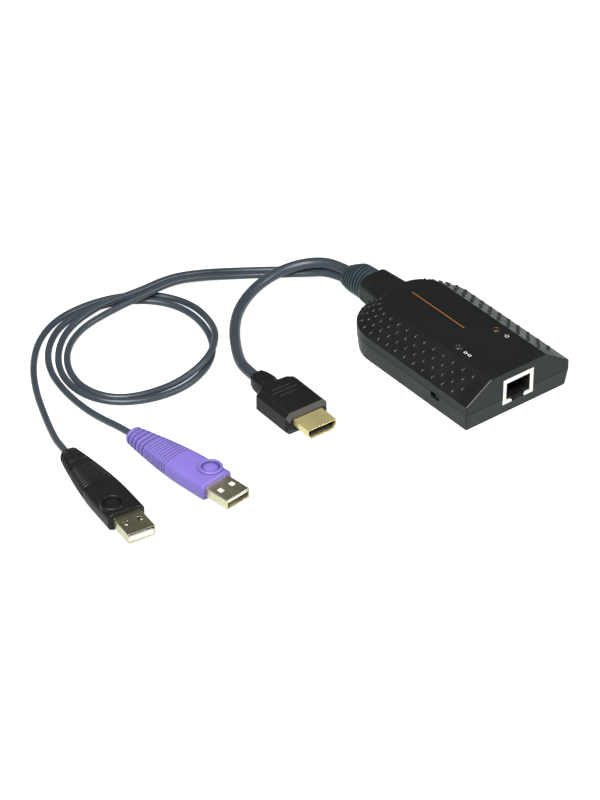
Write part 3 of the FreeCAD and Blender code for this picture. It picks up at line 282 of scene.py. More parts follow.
@dataclass
class Painter:
    """Makes each finish's material once and gives it out by slot name."""

    made: dict[str, bpy.types.Material] = field(default_factory=dict)

    def material(self, name: str) -> bpy.types.Material:
        """The material of a finish, built at its first use.

        Args:
            name: The finish's name.

        Returns:
            The material, the same one at every call.
        """
        if name not in self.made:
            self.made[name] = self._build(FINISHES[name])
        return self.made[name]

    def _build(self, finish: Finish) -> bpy.types.Material:
        """Build a finish from a Principled shader and the shared groups.

        Args:
            finish: What to build.

        Returns:
            The new material.
        """
        material = bpy.data.materials.new(finish.name)
        material.use_nodes = True
        nodes, links = material.node_tree.nodes, material.node_tree.links
        shader = nodes["Principled BSDF"]
        place = nodes.new("ShaderNodeTexCoord")
        vector = place.outputs["Object"]
        if finish.surface in GRAIN_STRETCH:
            stretch = nodes.new("ShaderNodeMapping")
            stretch.inputs["Scale"].default_value = (1.0, GRAIN_STRETCH[finish.surface], 1.0)
            links.new(vector, stretch.inputs["Vector"])
            vector = stretch.outputs["Vector"]

        grain = nodes.new("ShaderNodeGroup")
        grain.node_tree = GROUPS.grain()
        links.new(vector, grain.inputs["Vector"])
        grain.inputs["Color"].default_value = (*finish.colour, 1.0)
        grain.inputs["Scale"].default_value = 1.0 / (finish.grain * MM)
        grain.inputs["Tint"].default_value = finish.tint
        grain.inputs["Roughness"].default_value = finish.roughness
        grain.inputs["Mottle"].default_value = finish.mottle
        # The recess attribute carries painted shade in grooves and painted highlights on rounded edges.
        if finish.grooved:
            recess = nodes.new("ShaderNodeAttribute")
            recess.attribute_name = "recess"
            links.new(recess.outputs["Fac"], grain.inputs["Recess"])
        links.new(grain.outputs["Color"], shader.inputs["Base Color"])

        smear = nodes.new("ShaderNodeGroup")
        smear.node_tree = GROUPS.handling()
        links.new(place.outputs["Object"], smear.inputs["Vector"])
        links.new(grain.outputs["Roughness"], smear.inputs["Base"])
        smear.inputs["Amount"].default_value = (
            METAL_SMEAR if finish.surface in GRAIN_STRETCH else PLAIN_SMEAR)
        links.new(smear.outputs["Roughness"], shader.inputs["Roughness"])

        bump = nodes.new("ShaderNodeBump")
        bump.inputs["Distance"].default_value = finish.relief * MM
        bump.inputs["Strength"].default_value = 1.0
        links.new(grain.outputs["Height"], bump.inputs["Height"])
        links.new(bump.outputs["Normal"], shader.inputs["Normal"])
        self._set_shine(shader, finish)
        return material

    @staticmethod
    def _set_shine(shader: bpy.types.Node, finish: Finish) -> None:
        """Set the constants that go with how a finish is worked.

        Args:
            shader: The material's Principled shader.
            finish: What the material is.
        """
        surface = finish.surface
        if surface in (Surface.PLATED, Surface.BRUSHED):
            shader.inputs["Metallic"].default_value = finish.metal
        elif surface is Surface.FROSTED:
            shader.inputs["Coat Weight"].default_value = 0.5
            shader.inputs["Subsurface Weight"].default_value = 0.2
            shader.inputs["Subsurface Scale"].default_value = 0.001
        elif surface is Surface.LAMINATE:
            shader.inputs["Coat Weight"].default_value = 0.4
        elif surface is Surface.JACKET:
            shader.inputs["Sheen Weight"].default_value = 0.08
        elif surface in (Surface.SPARKED, Surface.SATIN):
            shader.inputs["Specular IOR Level"].default_value = finish.gloss


PAINT = Painter()


# ---------------------------------------------------------------- mesh tools

def add_object(name: str, mesh: bpy.types.Mesh, finish: str) -> bpy.types.Object:
    """Put a mesh in the scene as a piece of one finish and return it.

    Args:
        name: The piece's name.
        mesh: Its mesh, in metres.
        finish: Its finish's name.

    Returns:
        The new piece.
    """
    piece = bpy.data.objects.new(name, mesh)
    bpy.context.scene.collection.objects.link(piece)
    mesh.materials.clear()
    mesh.materials.append(PAINT.material(finish))
    return piece


def mesh_of(name: str, points: Sequence[Vector], faces: Sequence[Sequence[int]]
            ) -> bpy.types.Mesh:
    """A mesh in metres from points in millimetres, with its normals facing out.

    Args:
        name: The mesh's name.
        points: The points.
        faces: The faces, by point number.

    Returns:
        The new mesh.
    """
    mesh = bpy.data.meshes.new(name)
    mesh.from_pydata([Vector(point) * MM for point in points], [], faces)
    tidy_normals(mesh)
    return mesh


def tidy_normals(mesh: bpy.types.Mesh) -> None:
    """Merge doubled points and turn every face outwards.

    Args:
        mesh: The mesh to mend.
    """
    work = bmesh.new()
    work.from_mesh(mesh)
    bmesh.ops.remove_doubles(work, verts=work.verts, dist=1e-6)
    bmesh.ops.recalc_face_normals(work, faces=work.faces)
    work.to_mesh(mesh)
    work.free()


def loft(name: str, rings: Sequence[Sequence[Vector]], capped: bool = True) -> bpy.types.Mesh:
    """Skin rings of equal count, in millimetres.

    Args:
        name: The mesh's name.
        rings: The rings, each a closed line of points.
        capped: Whether the two ends are closed with a face.

    Returns:
        The skinned mesh, in metres.
    """
    count = len(rings[0])
    points = [point for ring in rings for point in ring]
    faces = []
    for row in range(len(rings) - 1):
        for step in range(count):
            following = (step + 1) % count
            faces.append((row * count + step, row * count + following,
                          (row + 1) * count + following, (row + 1) * count + step))
    if capped:
        faces.append(tuple(reversed(range(count))))
        faces.append(tuple(range((len(rings) - 1) * count, len(rings) * count)))
    return mesh_of(name, points, faces)


def shade_recess(mesh: bpy.types.Mesh, rings: Sequence[Sequence[Vector]],
                 depths: Sequence[float]) -> bpy.types.Mesh:
    """Store how far each point of a skinned mesh lies in a groove, from 0 to 1: painted shade
    for the grooves.

    Args:
        mesh: The mesh that the rings were skinned to.
        rings: The rings, in millimetres.
        depths: One depth for each point of the rings, in order.

    Returns:
        The same mesh, with its recess attribute.
    """
    points = [point for ring in rings for point in ring]
    finder = KDTree(len(points))
    for number, point in enumerate(points):
        finder.insert(Vector(point) * MM, number)
    finder.balance()
    layer = mesh.attributes.new("recess", "FLOAT", "POINT")
    for vertex in mesh.vertices:
        layer.data[vertex.index].value = float(depths[finder.find(vertex.co)[1]])
    return mesh


def block(low: Point, high: Point) -> bpy.types.Mesh:
    """A box between two corners, in millimetres.

    Args:
        low: The corner with the lowest numbers.
        high: The corner with the highest.

    Returns:
        The mesh, in metres.
    """
    ring = [(low[0], low[1]), (high[0], low[1]), (high[0], high[1]), (low[0], high[1])]
    return loft("block", [[Vector((x, y, z)) for x, y in ring] for z in (low[2], high[2])])


def rod(radius: float, low: Point, high: Point, count: int = 32) -> bpy.types.Mesh:
    """A cylinder between the centres of its two ends, in millimetres.

    Args:
        radius: Its radius.
        low: Its first end.
        high: Its other end.
        count: How many sides it has.

    Returns:
        The mesh, in metres.
    """
    start, end = Vector(low), Vector(high)
    turn = (end - start).to_track_quat("Z", "X")
    rings = [[centre + turn @ Vector((radius * math.cos(2 * math.pi * step / count),
                                      radius * math.sin(2 * math.pi * step / count), 0))
              for step in range(count)] for centre in (start, end)]
    return loft("rod", rings)


def bake(piece: bpy.types.Object) -> bpy.types.Object:
    """Turn a piece's modifiers into its plain mesh and return the piece.

    Args:
        piece: The piece to bake.

    Returns:
        The same piece, without modifiers.
    """
    depsgraph = bpy.context.evaluated_depsgraph_get()
    mesh = bpy.data.meshes.new_from_object(piece.evaluated_get(depsgraph))
    piece.modifiers.clear()
    piece.data = mesh
    return piece


def carve(piece: bpy.types.Object, tools: Sequence[bpy.types.Mesh], operation: str
          ) -> bpy.types.Object:
    """Join tools to a piece or cut them from it.

    Args:
        piece: The piece to work on.
        tools: The meshes to join or cut, in metres.
        operation: UNION or DIFFERENCE.

    Returns:
        The piece, its mesh replaced.
    """
    helpers = []
    for mesh in tools:
        helper = bpy.data.objects.new("tool", mesh)
        bpy.context.scene.collection.objects.link(helper)
        helpers.append(helper)
        modifier = piece.modifiers.new("carve", "BOOLEAN")
        modifier.operation = operation
        modifier.object = helper
        modifier.solver = "EXACT"
    bake(piece)
    for helper in helpers:
        bpy.data.objects.remove(helper)
    return piece


def soften(piece: bpy.types.Object, width: float, segments: int = 2, angle: float = 28.0,
           strip: int = -1) -> bpy.types.Object:
    """Round a piece's edges by width millimetres and even out its shading.

    Args:
        piece: The piece to round.
        width: The width of the rounding.
        segments: How many steps it has.
        angle: The least angle of an edge, in degrees.
        strip: The material slot of the rounded strips, or -1 for their neighbours'.

    Returns:
        The same piece, baked.
    """
    bevel = piece.modifiers.new("edges", "BEVEL")
    bevel.width = width * MM
    bevel.segments = segments
    bevel.limit_method = "ANGLE"
    bevel.angle_limit = math.radians(angle)
    bevel.miter_outer = "MITER_ARC"
    bevel.use_clamp_overlap = True
    bevel.material = strip
    for polygon in piece.data.polygons:
        polygon.use_smooth = True
    shade = piece.modifiers.new("shading", "WEIGHTED_NORMAL")
    shade.keep_sharp = True
    return bake(piece)


def soften_painted_highlight(piece: bpy.types.Object, width: float, painted_highlight: Callable[[Vector, Vector], float]
                ) -> bpy.types.Object:
    """Round a piece's edges and lighten the rounded strips: a painted highlight.

    Args:
        piece: The piece, of one finish that is grooved.
        width: The width of the rounding in millimetres.
        painted_highlight: How much lighter a strip is, from its middle in millimetres and its normal.

    Returns:
        The piece, with its recess attribute below zero on its rounded strips, as a painted highlight.
    """
    mark = piece.data.materials[0].copy()
    piece.data.materials.append(mark)
    soften(piece, width, 3, strip=1)
    mesh = piece.data
    layer = mesh.attributes.new("recess", "FLOAT", "FACE")
    for polygon in mesh.polygons:
        if polygon.material_index == 1:
            # Below zero the colour is lighter: a painted highlight on this rounded strip.
            layer.data[polygon.index].value = -painted_highlight(polygon.center / MM, polygon.normal)
        polygon.material_index = 0
    mesh.materials.pop(index=1)
    bpy.data.materials.remove(mark)
    return piece


def smooth(piece: bpy.types.Object, angle: float = 35.0) -> bpy.types.Object:
    """Shade a piece smooth except across edges sharper than angle degrees.

    Args:
        piece: The piece to shade.
        angle: The angle that stays sharp.

    Returns:
        The same piece.
    """
    piece.data.shade_smooth()
    piece.data.set_sharp_from_angle(angle=math.radians(angle))
    return piece


def solid_copy(name: str, node: str, finish: str) -> bpy.types.Object:
    """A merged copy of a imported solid, flat faces made whole, ready for its edges.

    Args:
        name: The new piece's name.
        node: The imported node.
        finish: Its finish's name.

    Returns:
        The copy.
    """
    mesh = frame["nodes"][node].data.copy()
    mesh.name = name
    work = bmesh.new()
    work.from_mesh(mesh)
    bmesh.ops.remove_doubles(work, verts=work.verts, dist=2e-6)
    bmesh.ops.dissolve_limit(work, angle_limit=math.radians(1.0), verts=work.verts,
                             edges=work.edges)
    work.to_mesh(mesh)
    work.free()
    return add_object(name, mesh, finish)


def settle(piece: bpy.types.Object, node: str | None, body: str = ROOT_BODY
           ) -> bpy.types.Object:
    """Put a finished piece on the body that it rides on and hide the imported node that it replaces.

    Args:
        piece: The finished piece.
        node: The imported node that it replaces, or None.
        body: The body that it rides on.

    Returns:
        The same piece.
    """
    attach(piece, body)
    if node:
        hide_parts(node)
    log.info("%s: %d points", piece.name, len(piece.data.vertices)
             if piece.type == "MESH" else len(piece.data.splines[0].points))
    return piece


# ---------------------------------------------------------------- housing

@dataclass(frozen=True)
class Plan:
    """The housing's plan at one height: square in front, rounded at the back."""

    half_width: float
    front: float
    rear: float
    corner: float
    height: float

    def ring(self, nose: float = 0.7, steps: int = 18) -> list[Vector]:
        """Points round the plan.

        Args:
            nose: Radius of the two front corners.
            steps: Segments in each back corner.

        Returns:
            The points, anticlockwise from the left front corner.
        """
        points = []
        turns = 4
        for centre_x, start in ((-self.half_width + nose, math.pi),
                                (self.half_width - nose, 1.5 * math.pi)):
            for step in range(turns + 1):
                angle = start + step / turns * math.pi / 2
                points.append((centre_x + nose * math.cos(angle),
                               -self.front + nose + nose * math.sin(angle)))
        straight = self.rear - self.corner
        inner = self.half_width - self.corner
        for side, start in ((1, 0.0), (-1, math.pi / 2)):
            for step in range(steps + 1):
                angle = start + step / steps * math.pi / 2
                points.append((side * inner + self.corner * math.cos(angle),
                               straight + self.corner * math.sin(angle)))
        return [Vector((x, y, self.height)) for x, y in points]


@dataclass
class Housing:
    """The two mouldings, the studs, the windows and the printed marks, in millimetres."""

    width: float = 54.4
    front: float = 47.0
    rear: float = 35.5
    rear_corner: float = 20.0
    seam: float = 8.0
    seam_gap: float = 0.1
    wall_top: float = 11.8
    top: float = 20.0
    crown: tuple[float, float, float] = (14.5, 28.5, 12.5)
    draft: float = 0.9
    wall: float = 2.0
    neck: tuple[float, float, float, float] = (8.5, 4.2, 17.1, 4.2)
    neck_reach: float = 45.0
    bore: tuple[float, float, float] = (6.0, 6.0, 15.0)
    stud_rows: int = 4
    stud_down: tuple[float, float] = (3.2, 3.2)
    stud_start: float = 7.9
    stud_pitch: tuple[float, float, float] = (6.3, 0.14, 5.1)
    lamp_spread: float = 10.0
    lamp_back: float = -21.4
    lamp_bore: float = 1.25
    neck_overlap: float = 24.0
    neck_flare: tuple[float, float] = (1.2, -0.9)
    jack_window: tuple[float, float, float] = (8.0, 4.75, 16.65)
    switch_notch: tuple[float, float, float] = (-30.0, -24.8, 5.2)
    screw_spread: float = 19.0
    screw_rows: tuple[float, float] = (-38.0, 12.0)
    screw_recess: tuple[float, float] = (2.3, 1.1)
    edge: float = 0.42
    # How much lighter the rounded edges are made: painted highlights, strongest on front edges facing up.
    front_painted_highlight: float = 7.0
    top_painted_highlight: float = 1.2
    side_painted_highlight: float = 0.5
    rule_across: tuple[float, float] = (0.41, 0.70)
    rule_along: tuple[float, float] = (-12.5, 20.8)
    print_sunk: float = 0.03
    print_proud: float = 0.012

    def _plan(self, height: float, inset: float) -> Plan:
        """The widest plan, drawn in by inset.

        Args:
            height: How high the plan lies.
            inset: How far it is drawn in.

        Returns:
            The plan.
        """
        return Plan(self.width / 2 - inset, self.front - inset, self.rear - inset,
                    self.rear_corner - inset, height)

    def _crown_plan(self, height: float, inset: float = 0.0, front: float = 0.0) -> Plan:
        """The crown's plan, drawn in at the sides by inset and at the front by front.

        Args:
            height: How high the plan lies.
            inset: How far the sides and back are drawn in.
            front: How far the front is drawn in.

        Returns:
            The plan.
        """
        half, reach, corner = self.crown
        return Plan(half - inset, self.front - front, reach - inset, corner - inset, height)

    def _neck_ring(self, y: float, low: float, high: float, grow: float = 0.0) -> list[Vector]:
        """The part of the neck's rounded section between two heights.

        Args:
            y: Where the section lies.
            low: The lower height.
            high: The upper height.
            grow: How much wider each side is.

        Returns:
            The ring's points.
        """
        half, bottom, top, radius = self.neck
        half += grow
        ring = []
        corners = ((half - radius, bottom + radius, -90), (half - radius, top - radius, 0),
                   (radius - half, top - radius, 90), (radius - half, bottom + radius, 180))
        for x, z, start in corners:
            for step in range(9):
                angle = math.radians(start + step * 90 / 8)
                point_z = z + radius * math.sin(angle)
                ring.append(Vector((x + radius * math.cos(angle), y,
                                    min(max(point_z, low), high))))
        return ring

    def _neck_mesh(self, low: float, high: float, reach: float) -> bpy.types.Mesh:
        """The neck between two heights, running back from the housing.

        Args:
            low: The lower height.
            high: The upper height.
            reach: How far it runs into the housing.

        Returns:
            The mesh, in metres.
        """
        inner, outer = self.neck_flare
        return loft("neck", [self._neck_ring(self.neck_reach - reach, low, high, inner),
                             self._neck_ring(self.neck_reach, low, high, outer)])

    def _painted_highlight(self, middle: Vector, normal: Vector) -> float:
        """How much painted highlight a rounded edge gets: most along the crown's and shoulder's front,
        on the edges that face forward and up.

        Args:
            middle: The middle of one of its faces, in millimetres.
            normal: That face's normal.

        Returns:
            How far the recess goes below zero.
        """
        if middle.y < -self.front + 4 and normal.y < -0.12 and normal.z > 0.2:
            return self.front_painted_highlight
        return self.top_painted_highlight if middle.z > self.wall_top + 0.3 else self.side_painted_highlight

    def upper(self) -> bpy.types.Object:
        """Wall, shoulder and crown in one moulding, hollow, with its openings.

        Returns:
            The upper case.
        """
        low = self.seam + self.seam_gap
        outer = loft("upper_moulding", [self._plan(low, 0).ring(), self._plan(self.wall_top, 0).ring(),
                                        self._crown_plan(self.top).ring()])
        piece = add_object("upper_moulding", outer, "housing")
        carve(piece, [self._neck_mesh(low, self.neck[2], self.neck_overlap)], "UNION")
        turn = self.wall_top - 0.55 * self.wall
        hollow = loft("hollow", [self._plan(low - 1, self.wall).ring(),
                                 self._plan(turn, self.wall).ring(),
                                 self._crown_plan(self.top - self.wall, 0.3 * self.wall,
                                                  self.wall).ring()])
        bore = block((-self.bore[0], self.rear - 6, low - 1),
                     (self.bore[0], self.neck_reach + 1, self.bore[2]))
        half, _, window_top = self.jack_window
        window = block((-half, -self.front - 1, low - 1), (half, -self.front + 4, window_top))
        holes = [rod(self.lamp_bore, (side * self.lamp_spread, self.lamp_back, 16),
                     (side * self.lamp_spread, self.lamp_back, 21)) for side in (-1, 1)]
        carve(piece, [hollow, bore, window, *holes], "DIFFERENCE")
        # Rounded edges lightened as painted highlights.
        return soften_painted_highlight(piece, self.edge, self._painted_highlight)

    def lower(self) -> bpy.types.Object:
        """The tray with its drafted wall and the notch for the recovery switch.

        Returns:
            The lower case.
        """
        high = self.seam - self.seam_gap
        outer = loft("lower_moulding", [self._plan(0, self.draft).ring(), self._plan(high, 0).ring()])
        piece = add_object("lower_moulding", outer, "housing")
        carve(piece, [self._neck_mesh(self.neck[1], high, self.neck_overlap)], "UNION")
        hollow = loft("hollow", [self._plan(self.wall, self.wall + self.draft).ring(),
                                 self._plan(high + 1, self.wall + self.draft).ring()])
        bore = block((-self.bore[0], self.rear - 6, self.bore[1]),
                     (self.bore[0], self.neck_reach + 1, high + 1))
        half, window_low, _ = self.jack_window
        window = block((-half, -self.front - 1, window_low), (half, -self.front + 4, high + 1))
        notch_front, notch_back, notch_low = self.switch_notch
        notch = block((-self.width / 2 - 1, notch_front, notch_low),
                      (-self.width / 2 + 4, notch_back, high + 1))
        radius, depth = self.screw_recess
        recesses = [rod(radius, (self.screw_spread * side, y, -1),
                        (self.screw_spread * side, y, depth))
                    for side in (-1, 1) for y in self.screw_rows]
        carve(piece, [hollow, bore, window, notch, *recesses], "DIFFERENCE")
        # Rounded edges lightened as painted highlights.
        return soften_painted_highlight(piece, self.edge, self._painted_highlight)

    def _shoulder(self, along: float, down: float) -> tuple[Vector, Vector, Vector]:
        """A place on the left-hand shoulder.

        Args:
            along: Distance from the front along the wall's top edge.
            down: 0 at the crown, 1 at the wall.

        Returns:
            The point, the way along the shoulder and the outward normal.
        """
        half, reach, corner = self.crown
        straight = self.front + self.rear - self.rear_corner
        if along < straight:
            share = along / straight
            low = Vector((-self.width / 2, along - self.front, self.wall_top))
            high = Vector((-half, share * (self.front + reach - corner) - self.front, self.top))
            heading = Vector((0, 1, 0))
        else:
            turn = (along - straight) / self.rear_corner
            out = Vector((-math.cos(turn), math.sin(turn), 0))
            low = Vector((self.rear_corner - self.width / 2, self.rear - self.rear_corner,
                          self.wall_top)) + out * self.rear_corner
            high = Vector((corner - half, reach - corner, self.top)) + out * corner
            heading = Vector((math.sin(turn), math.cos(turn), 0))
        normal = heading.cross(high - low).normalized()
        if normal.z < 0:
            normal.negate()
        return high + (low - high) * down, heading, normal

    def _stud_places(self) -> list[tuple[Vector, Vector, Vector]]:
        """Every stud's point, heading and normal, both sides of the housing.

        Returns:
            One point, heading and normal for each stud.
        """
        straight = self.front + self.rear - self.rear_corner
        end = straight + 0.93 * self.rear_corner * math.pi / 2
        slope = math.hypot(self.width / 2 - self.crown[0], self.top - self.wall_top)
        first, closing, least = self.stud_pitch
        places = []
        for row in range(self.stud_rows):
            down = (self.stud_down[0] + row * self.stud_down[1]) / slope
            along = self.stud_start + (first / 2 if row % 2 else 0)
            pitch = first
            while along < end:
                point, heading, normal = self._shoulder(along, down)
                if abs(point.x) > self.neck[0] + 1.2:
                    places.append((point, heading, normal))
                    places.append(tuple(Vector((-v.x, v.y, v.z)) for v in (point, heading, normal)))
                along += pitch
                pitch = max(pitch - closing, least)
        return places

    def studs(self) -> bpy.types.Object:
        """Elongated pips set on the shoulder by a Geometry Nodes tree.

        Returns:
            All the studs, as one piece.
        """
        places = self._stud_places()
        mesh = bpy.data.meshes.new("shoulder_studs")
        mesh.from_pydata([point * MM for point, _, _ in places], [], [])
        for label, index in (("heading", 1), ("normal_way", 2)):
            attribute = mesh.attributes.new(label, "FLOAT_VECTOR", "POINT")
            for item, place in zip(attribute.data, places):
                item.vector = place[index]
        piece = add_object("shoulder_studs", mesh, "housing_studs")
        sizes = {"Length": 1.2 * MM, "Width": 2.6 * MM, "Height": 0.62 * MM}
        run_tree(piece, stud_tree(PAINT.material("housing_studs")), sizes)
        return smooth(piece, 50)

    def window_rims(self) -> bpy.types.Object:
        """A fine raised rim round each lamp hole.

        Returns:
            Both rims, as one piece.
        """
        mesh = bmesh.new()
        for side in (-1, 1):
            part = ring_mesh(self.lamp_bore + 0.02, self.lamp_bore + 0.47, 0.16,
                             Vector((side * self.lamp_spread, self.lamp_back, self.top - 0.02)))
            mesh.from_mesh(part)
        joined = bpy.data.meshes.new("lamp_rims")
        mesh.to_mesh(joined)
        mesh.free()
        return smooth(add_object("lamp_rims", joined, "lamp_rim"))

    def rule_line(self) -> bpy.types.Object:
        """The printed rule along the crown.

        Returns:
            The rule.
        """
        left, right = self.rule_across
        front, back = self.rule_along
        bar = block((left, front, self.top - self.print_sunk),
                    (right, back, self.top + self.print_proud))
        return add_object("printed_rule", bar, "rule_orange")

    def lamp_marks(self) -> bpy.types.Object:
        """Plain printed marks in front of the lamps: linked squares and a ring with a bar.

        Returns:
            Both marks, as one piece.
        """
        parts = []
        low, high = self.top - self.print_sunk, self.top + self.print_proud
        x = -self.lamp_spread - 0.3
        for y in (-26.0, -28.6):
            parts += frame_bars(x, y, 0.62, 0.2, low, high)
        parts.append(block((x - 0.1, -27.98, low), (x + 0.1, -26.62, high)))
        x = self.lamp_spread + 0.4
        parts.append(ring_mesh(0.68, 0.92, high - low, Vector((x, -27.4, low)), 0.72))
        parts.append(block((x - 0.12, -27.2, low), (x + 0.12, -26.1, high)))
        joined = bmesh.new()
        for part in parts:
            joined.from_mesh(part)
        mesh = bpy.data.meshes.new("lamp_marks")
        joined.to_mesh(mesh)
        joined.free()
        return add_object("lamp_marks", mesh, "mark_white")

    def build(self) -> None:
        """Build every piece of the housing and hand it to the frame."""
        settle(self.upper(), "upper_case")
        settle(self.lower(), "lower_case")
        settle(self.studs(), None)
        settle(self.window_rims(), None)
        settle(self.rule_line(), None)
        settle(self.lamp_marks(), None)


def frame_bars(x: float, y: float, half: float, line: float, low: float, high: float
               ) -> list[bpy.types.Mesh]:
    """The four bars of a small printed square centred on x and y, in millimetres.

    Args:
        x: Its middle across.
        y: Its middle along.
        half: Half its side.
        line: The width of its bars.
        low: Their underside.
        high: Their top.

    Returns:
        The bars' meshes, in metres.
    """
    inner = half - line
    return [block((x - half, y - half, low), (x + half, y - inner, high)),
            block((x - half, y + inner, low), (x + half, y + half, high)),
            block((x - half, y - inner, low), (x - inner, y + inner, high)),
            block((x + inner, y - inner, low), (x + half, y + inner, high))]


def ring_mesh(inner: float, outer: float, height: float, centre: Vector, share: float = 1.0
              ) -> bpy.types.Mesh:
    """A flat ring with a softly rounded top, or an arc of one, in millimetres.

    Args:
        inner: Inner radius.
        outer: Outer radius.
        height: How high it stands.
        centre: The middle of its base.
        share: How much of the full turn it covers, open towards +Y.

    Returns:
        The mesh, in metres.
    """
    steps = 40
    edge = min(0.3 * (outer - inner), height * 0.6)
    section = [(inner, 0), (inner, height - edge), (inner + edge, height),
               (outer - edge, height), (outer, height - edge), (outer, 0)]
    rings = []
    closed = share >= 1.0
    turns = steps if closed else steps + 1
    for step in range(turns):
        angle = math.pi / 2 + math.pi * (1 - share) + 2 * math.pi * share * step / steps
        rings.append([centre + Vector((r * math.cos(angle), r * math.sin(angle), z))
                      for r, z in section])
    if closed:
        rings.append(rings[0])
    return loft("ring", rings, capped=not closed)


# ---------------------------------------------------------------- geometry nodes

def run_tree(piece: bpy.types.Object, tree: bpy.types.GeometryNodeTree,
             sizes: dict[str, float]) -> None:
    """Run a Geometry Nodes tree on a piece with its sizes set, and keep the plain result.

    Args:
        piece: The piece to run it on.
        tree: The tree.
        sizes: The tree's inputs by name, in metres.
    """
    modifier = piece.modifiers.new(tree.name, "NODES")
    modifier.node_group = tree
    for item in tree.interface.items_tree:
        if item.item_type == "SOCKET" and item.in_out == "INPUT" and item.name in sizes:
            modifier[item.identifier] = sizes[item.name]
    bake(piece)


def new_tree(name: str, inputs: Sequence[str]) -> tuple[
        bpy.types.GeometryNodeTree, bpy.types.Node, bpy.types.Node]:
    """Start a Geometry Nodes tree with geometry in and out and the named float inputs.

    Args:
        name: The tree's name.
        inputs: The names of its float inputs.

    Returns:
        The tree with its input and output nodes.
    """
    tree = bpy.data.node_groups.new(name, "GeometryNodeTree")
    tree.interface.new_socket("Geometry", in_out="INPUT", socket_type="NodeSocketGeometry")
    for label in inputs:
        tree.interface.new_socket(label, in_out="INPUT", socket_type="NodeSocketFloat")
    tree.interface.new_socket("Geometry", in_out="OUTPUT", socket_type="NodeSocketGeometry")
    return tree, tree.nodes.new("NodeGroupInput"), tree.nodes.new("NodeGroupOutput")


def stud_tree(material: bpy.types.Material) -> bpy.types.GeometryNodeTree:
    """A tree that stands one oval pip on each point, turned by its two direction attributes.

    Args:
        material: What the pips are made of.

    Returns:
        The tree, with Length, Width and Height inputs.
    """
    tree, given, out = new_tree("stud_rows", ("Length", "Width", "Height"))
    nodes, links = tree.nodes, tree.links
    ball = nodes.new("GeometryNodeMeshUVSphere")
    ball.inputs["Segments"].default_value = 12
    ball.inputs["Rings"].default_value = 8
    ball.inputs["Radius"].default_value = 0.5
    scale = nodes.new("ShaderNodeCombineXYZ")
    twice = nodes.new("ShaderNodeMath")
    twice.operation = "MULTIPLY"
    twice.inputs[1].default_value = 2.0
    links.new(given.outputs["Height"], twice.inputs[0])
    links.new(given.outputs["Length"], scale.inputs["X"])
    links.new(given.outputs["Width"], scale.inputs["Y"])
    links.new(twice.outputs[0], scale.inputs["Z"])

    turns = []
    for label, axis in (("normal_way", "Z"), ("heading", "X")):
        way = nodes.new("GeometryNodeInputNamedAttribute")
        way.data_type = "FLOAT_VECTOR"
        way.inputs["Name"].default_value = label
        turn = nodes.new("FunctionNodeAlignRotationToVector")
        turn.axis = axis
        turn.pivot_axis = "AUTO" if axis == "Z" else "Z"
        links.new(way.outputs["Attribute"], turn.inputs["Vector"])
        turns.append(turn)
    links.new(turns[0].outputs["Rotation"], turns[1].inputs["Rotation"])

    place = nodes.new("GeometryNodeInstanceOnPoints")
    links.new(given.outputs["Geometry"], place.inputs["Points"])
    links.new(ball.outputs["Mesh"], place.inputs["Instance"])
    links.new(turns[1].outputs["Rotation"], place.inputs["Rotation"])
    links.new(scale.outputs["Vector"], place.inputs["Scale"])
    finish_tree(tree, place.outputs["Instances"], out, material)
    return tree


def finish_tree(tree: bpy.types.GeometryNodeTree, instances: bpy.types.NodeSocket,
                out: bpy.types.Node, material: bpy.types.Material) -> None:
    """End a tree with Realize Instances and Set Material.

    Args:
        tree: The tree.
        instances: What it has placed.
        out: Its output node.
        material: What the pieces are made of.
    """
    real = tree.nodes.new("GeometryNodeRealizeInstances")
    dress = tree.nodes.new("GeometryNodeSetMaterial")
    dress.inputs["Material"].default_value = material
    tree.links.new(instances, real.inputs["Geometry"])
    tree.links.new(real.outputs["Geometry"], dress.inputs["Geometry"])
    tree.links.new(dress.outputs["Geometry"], out.inputs["Geometry"])


# ---------------------------------------------------------------- strain relief

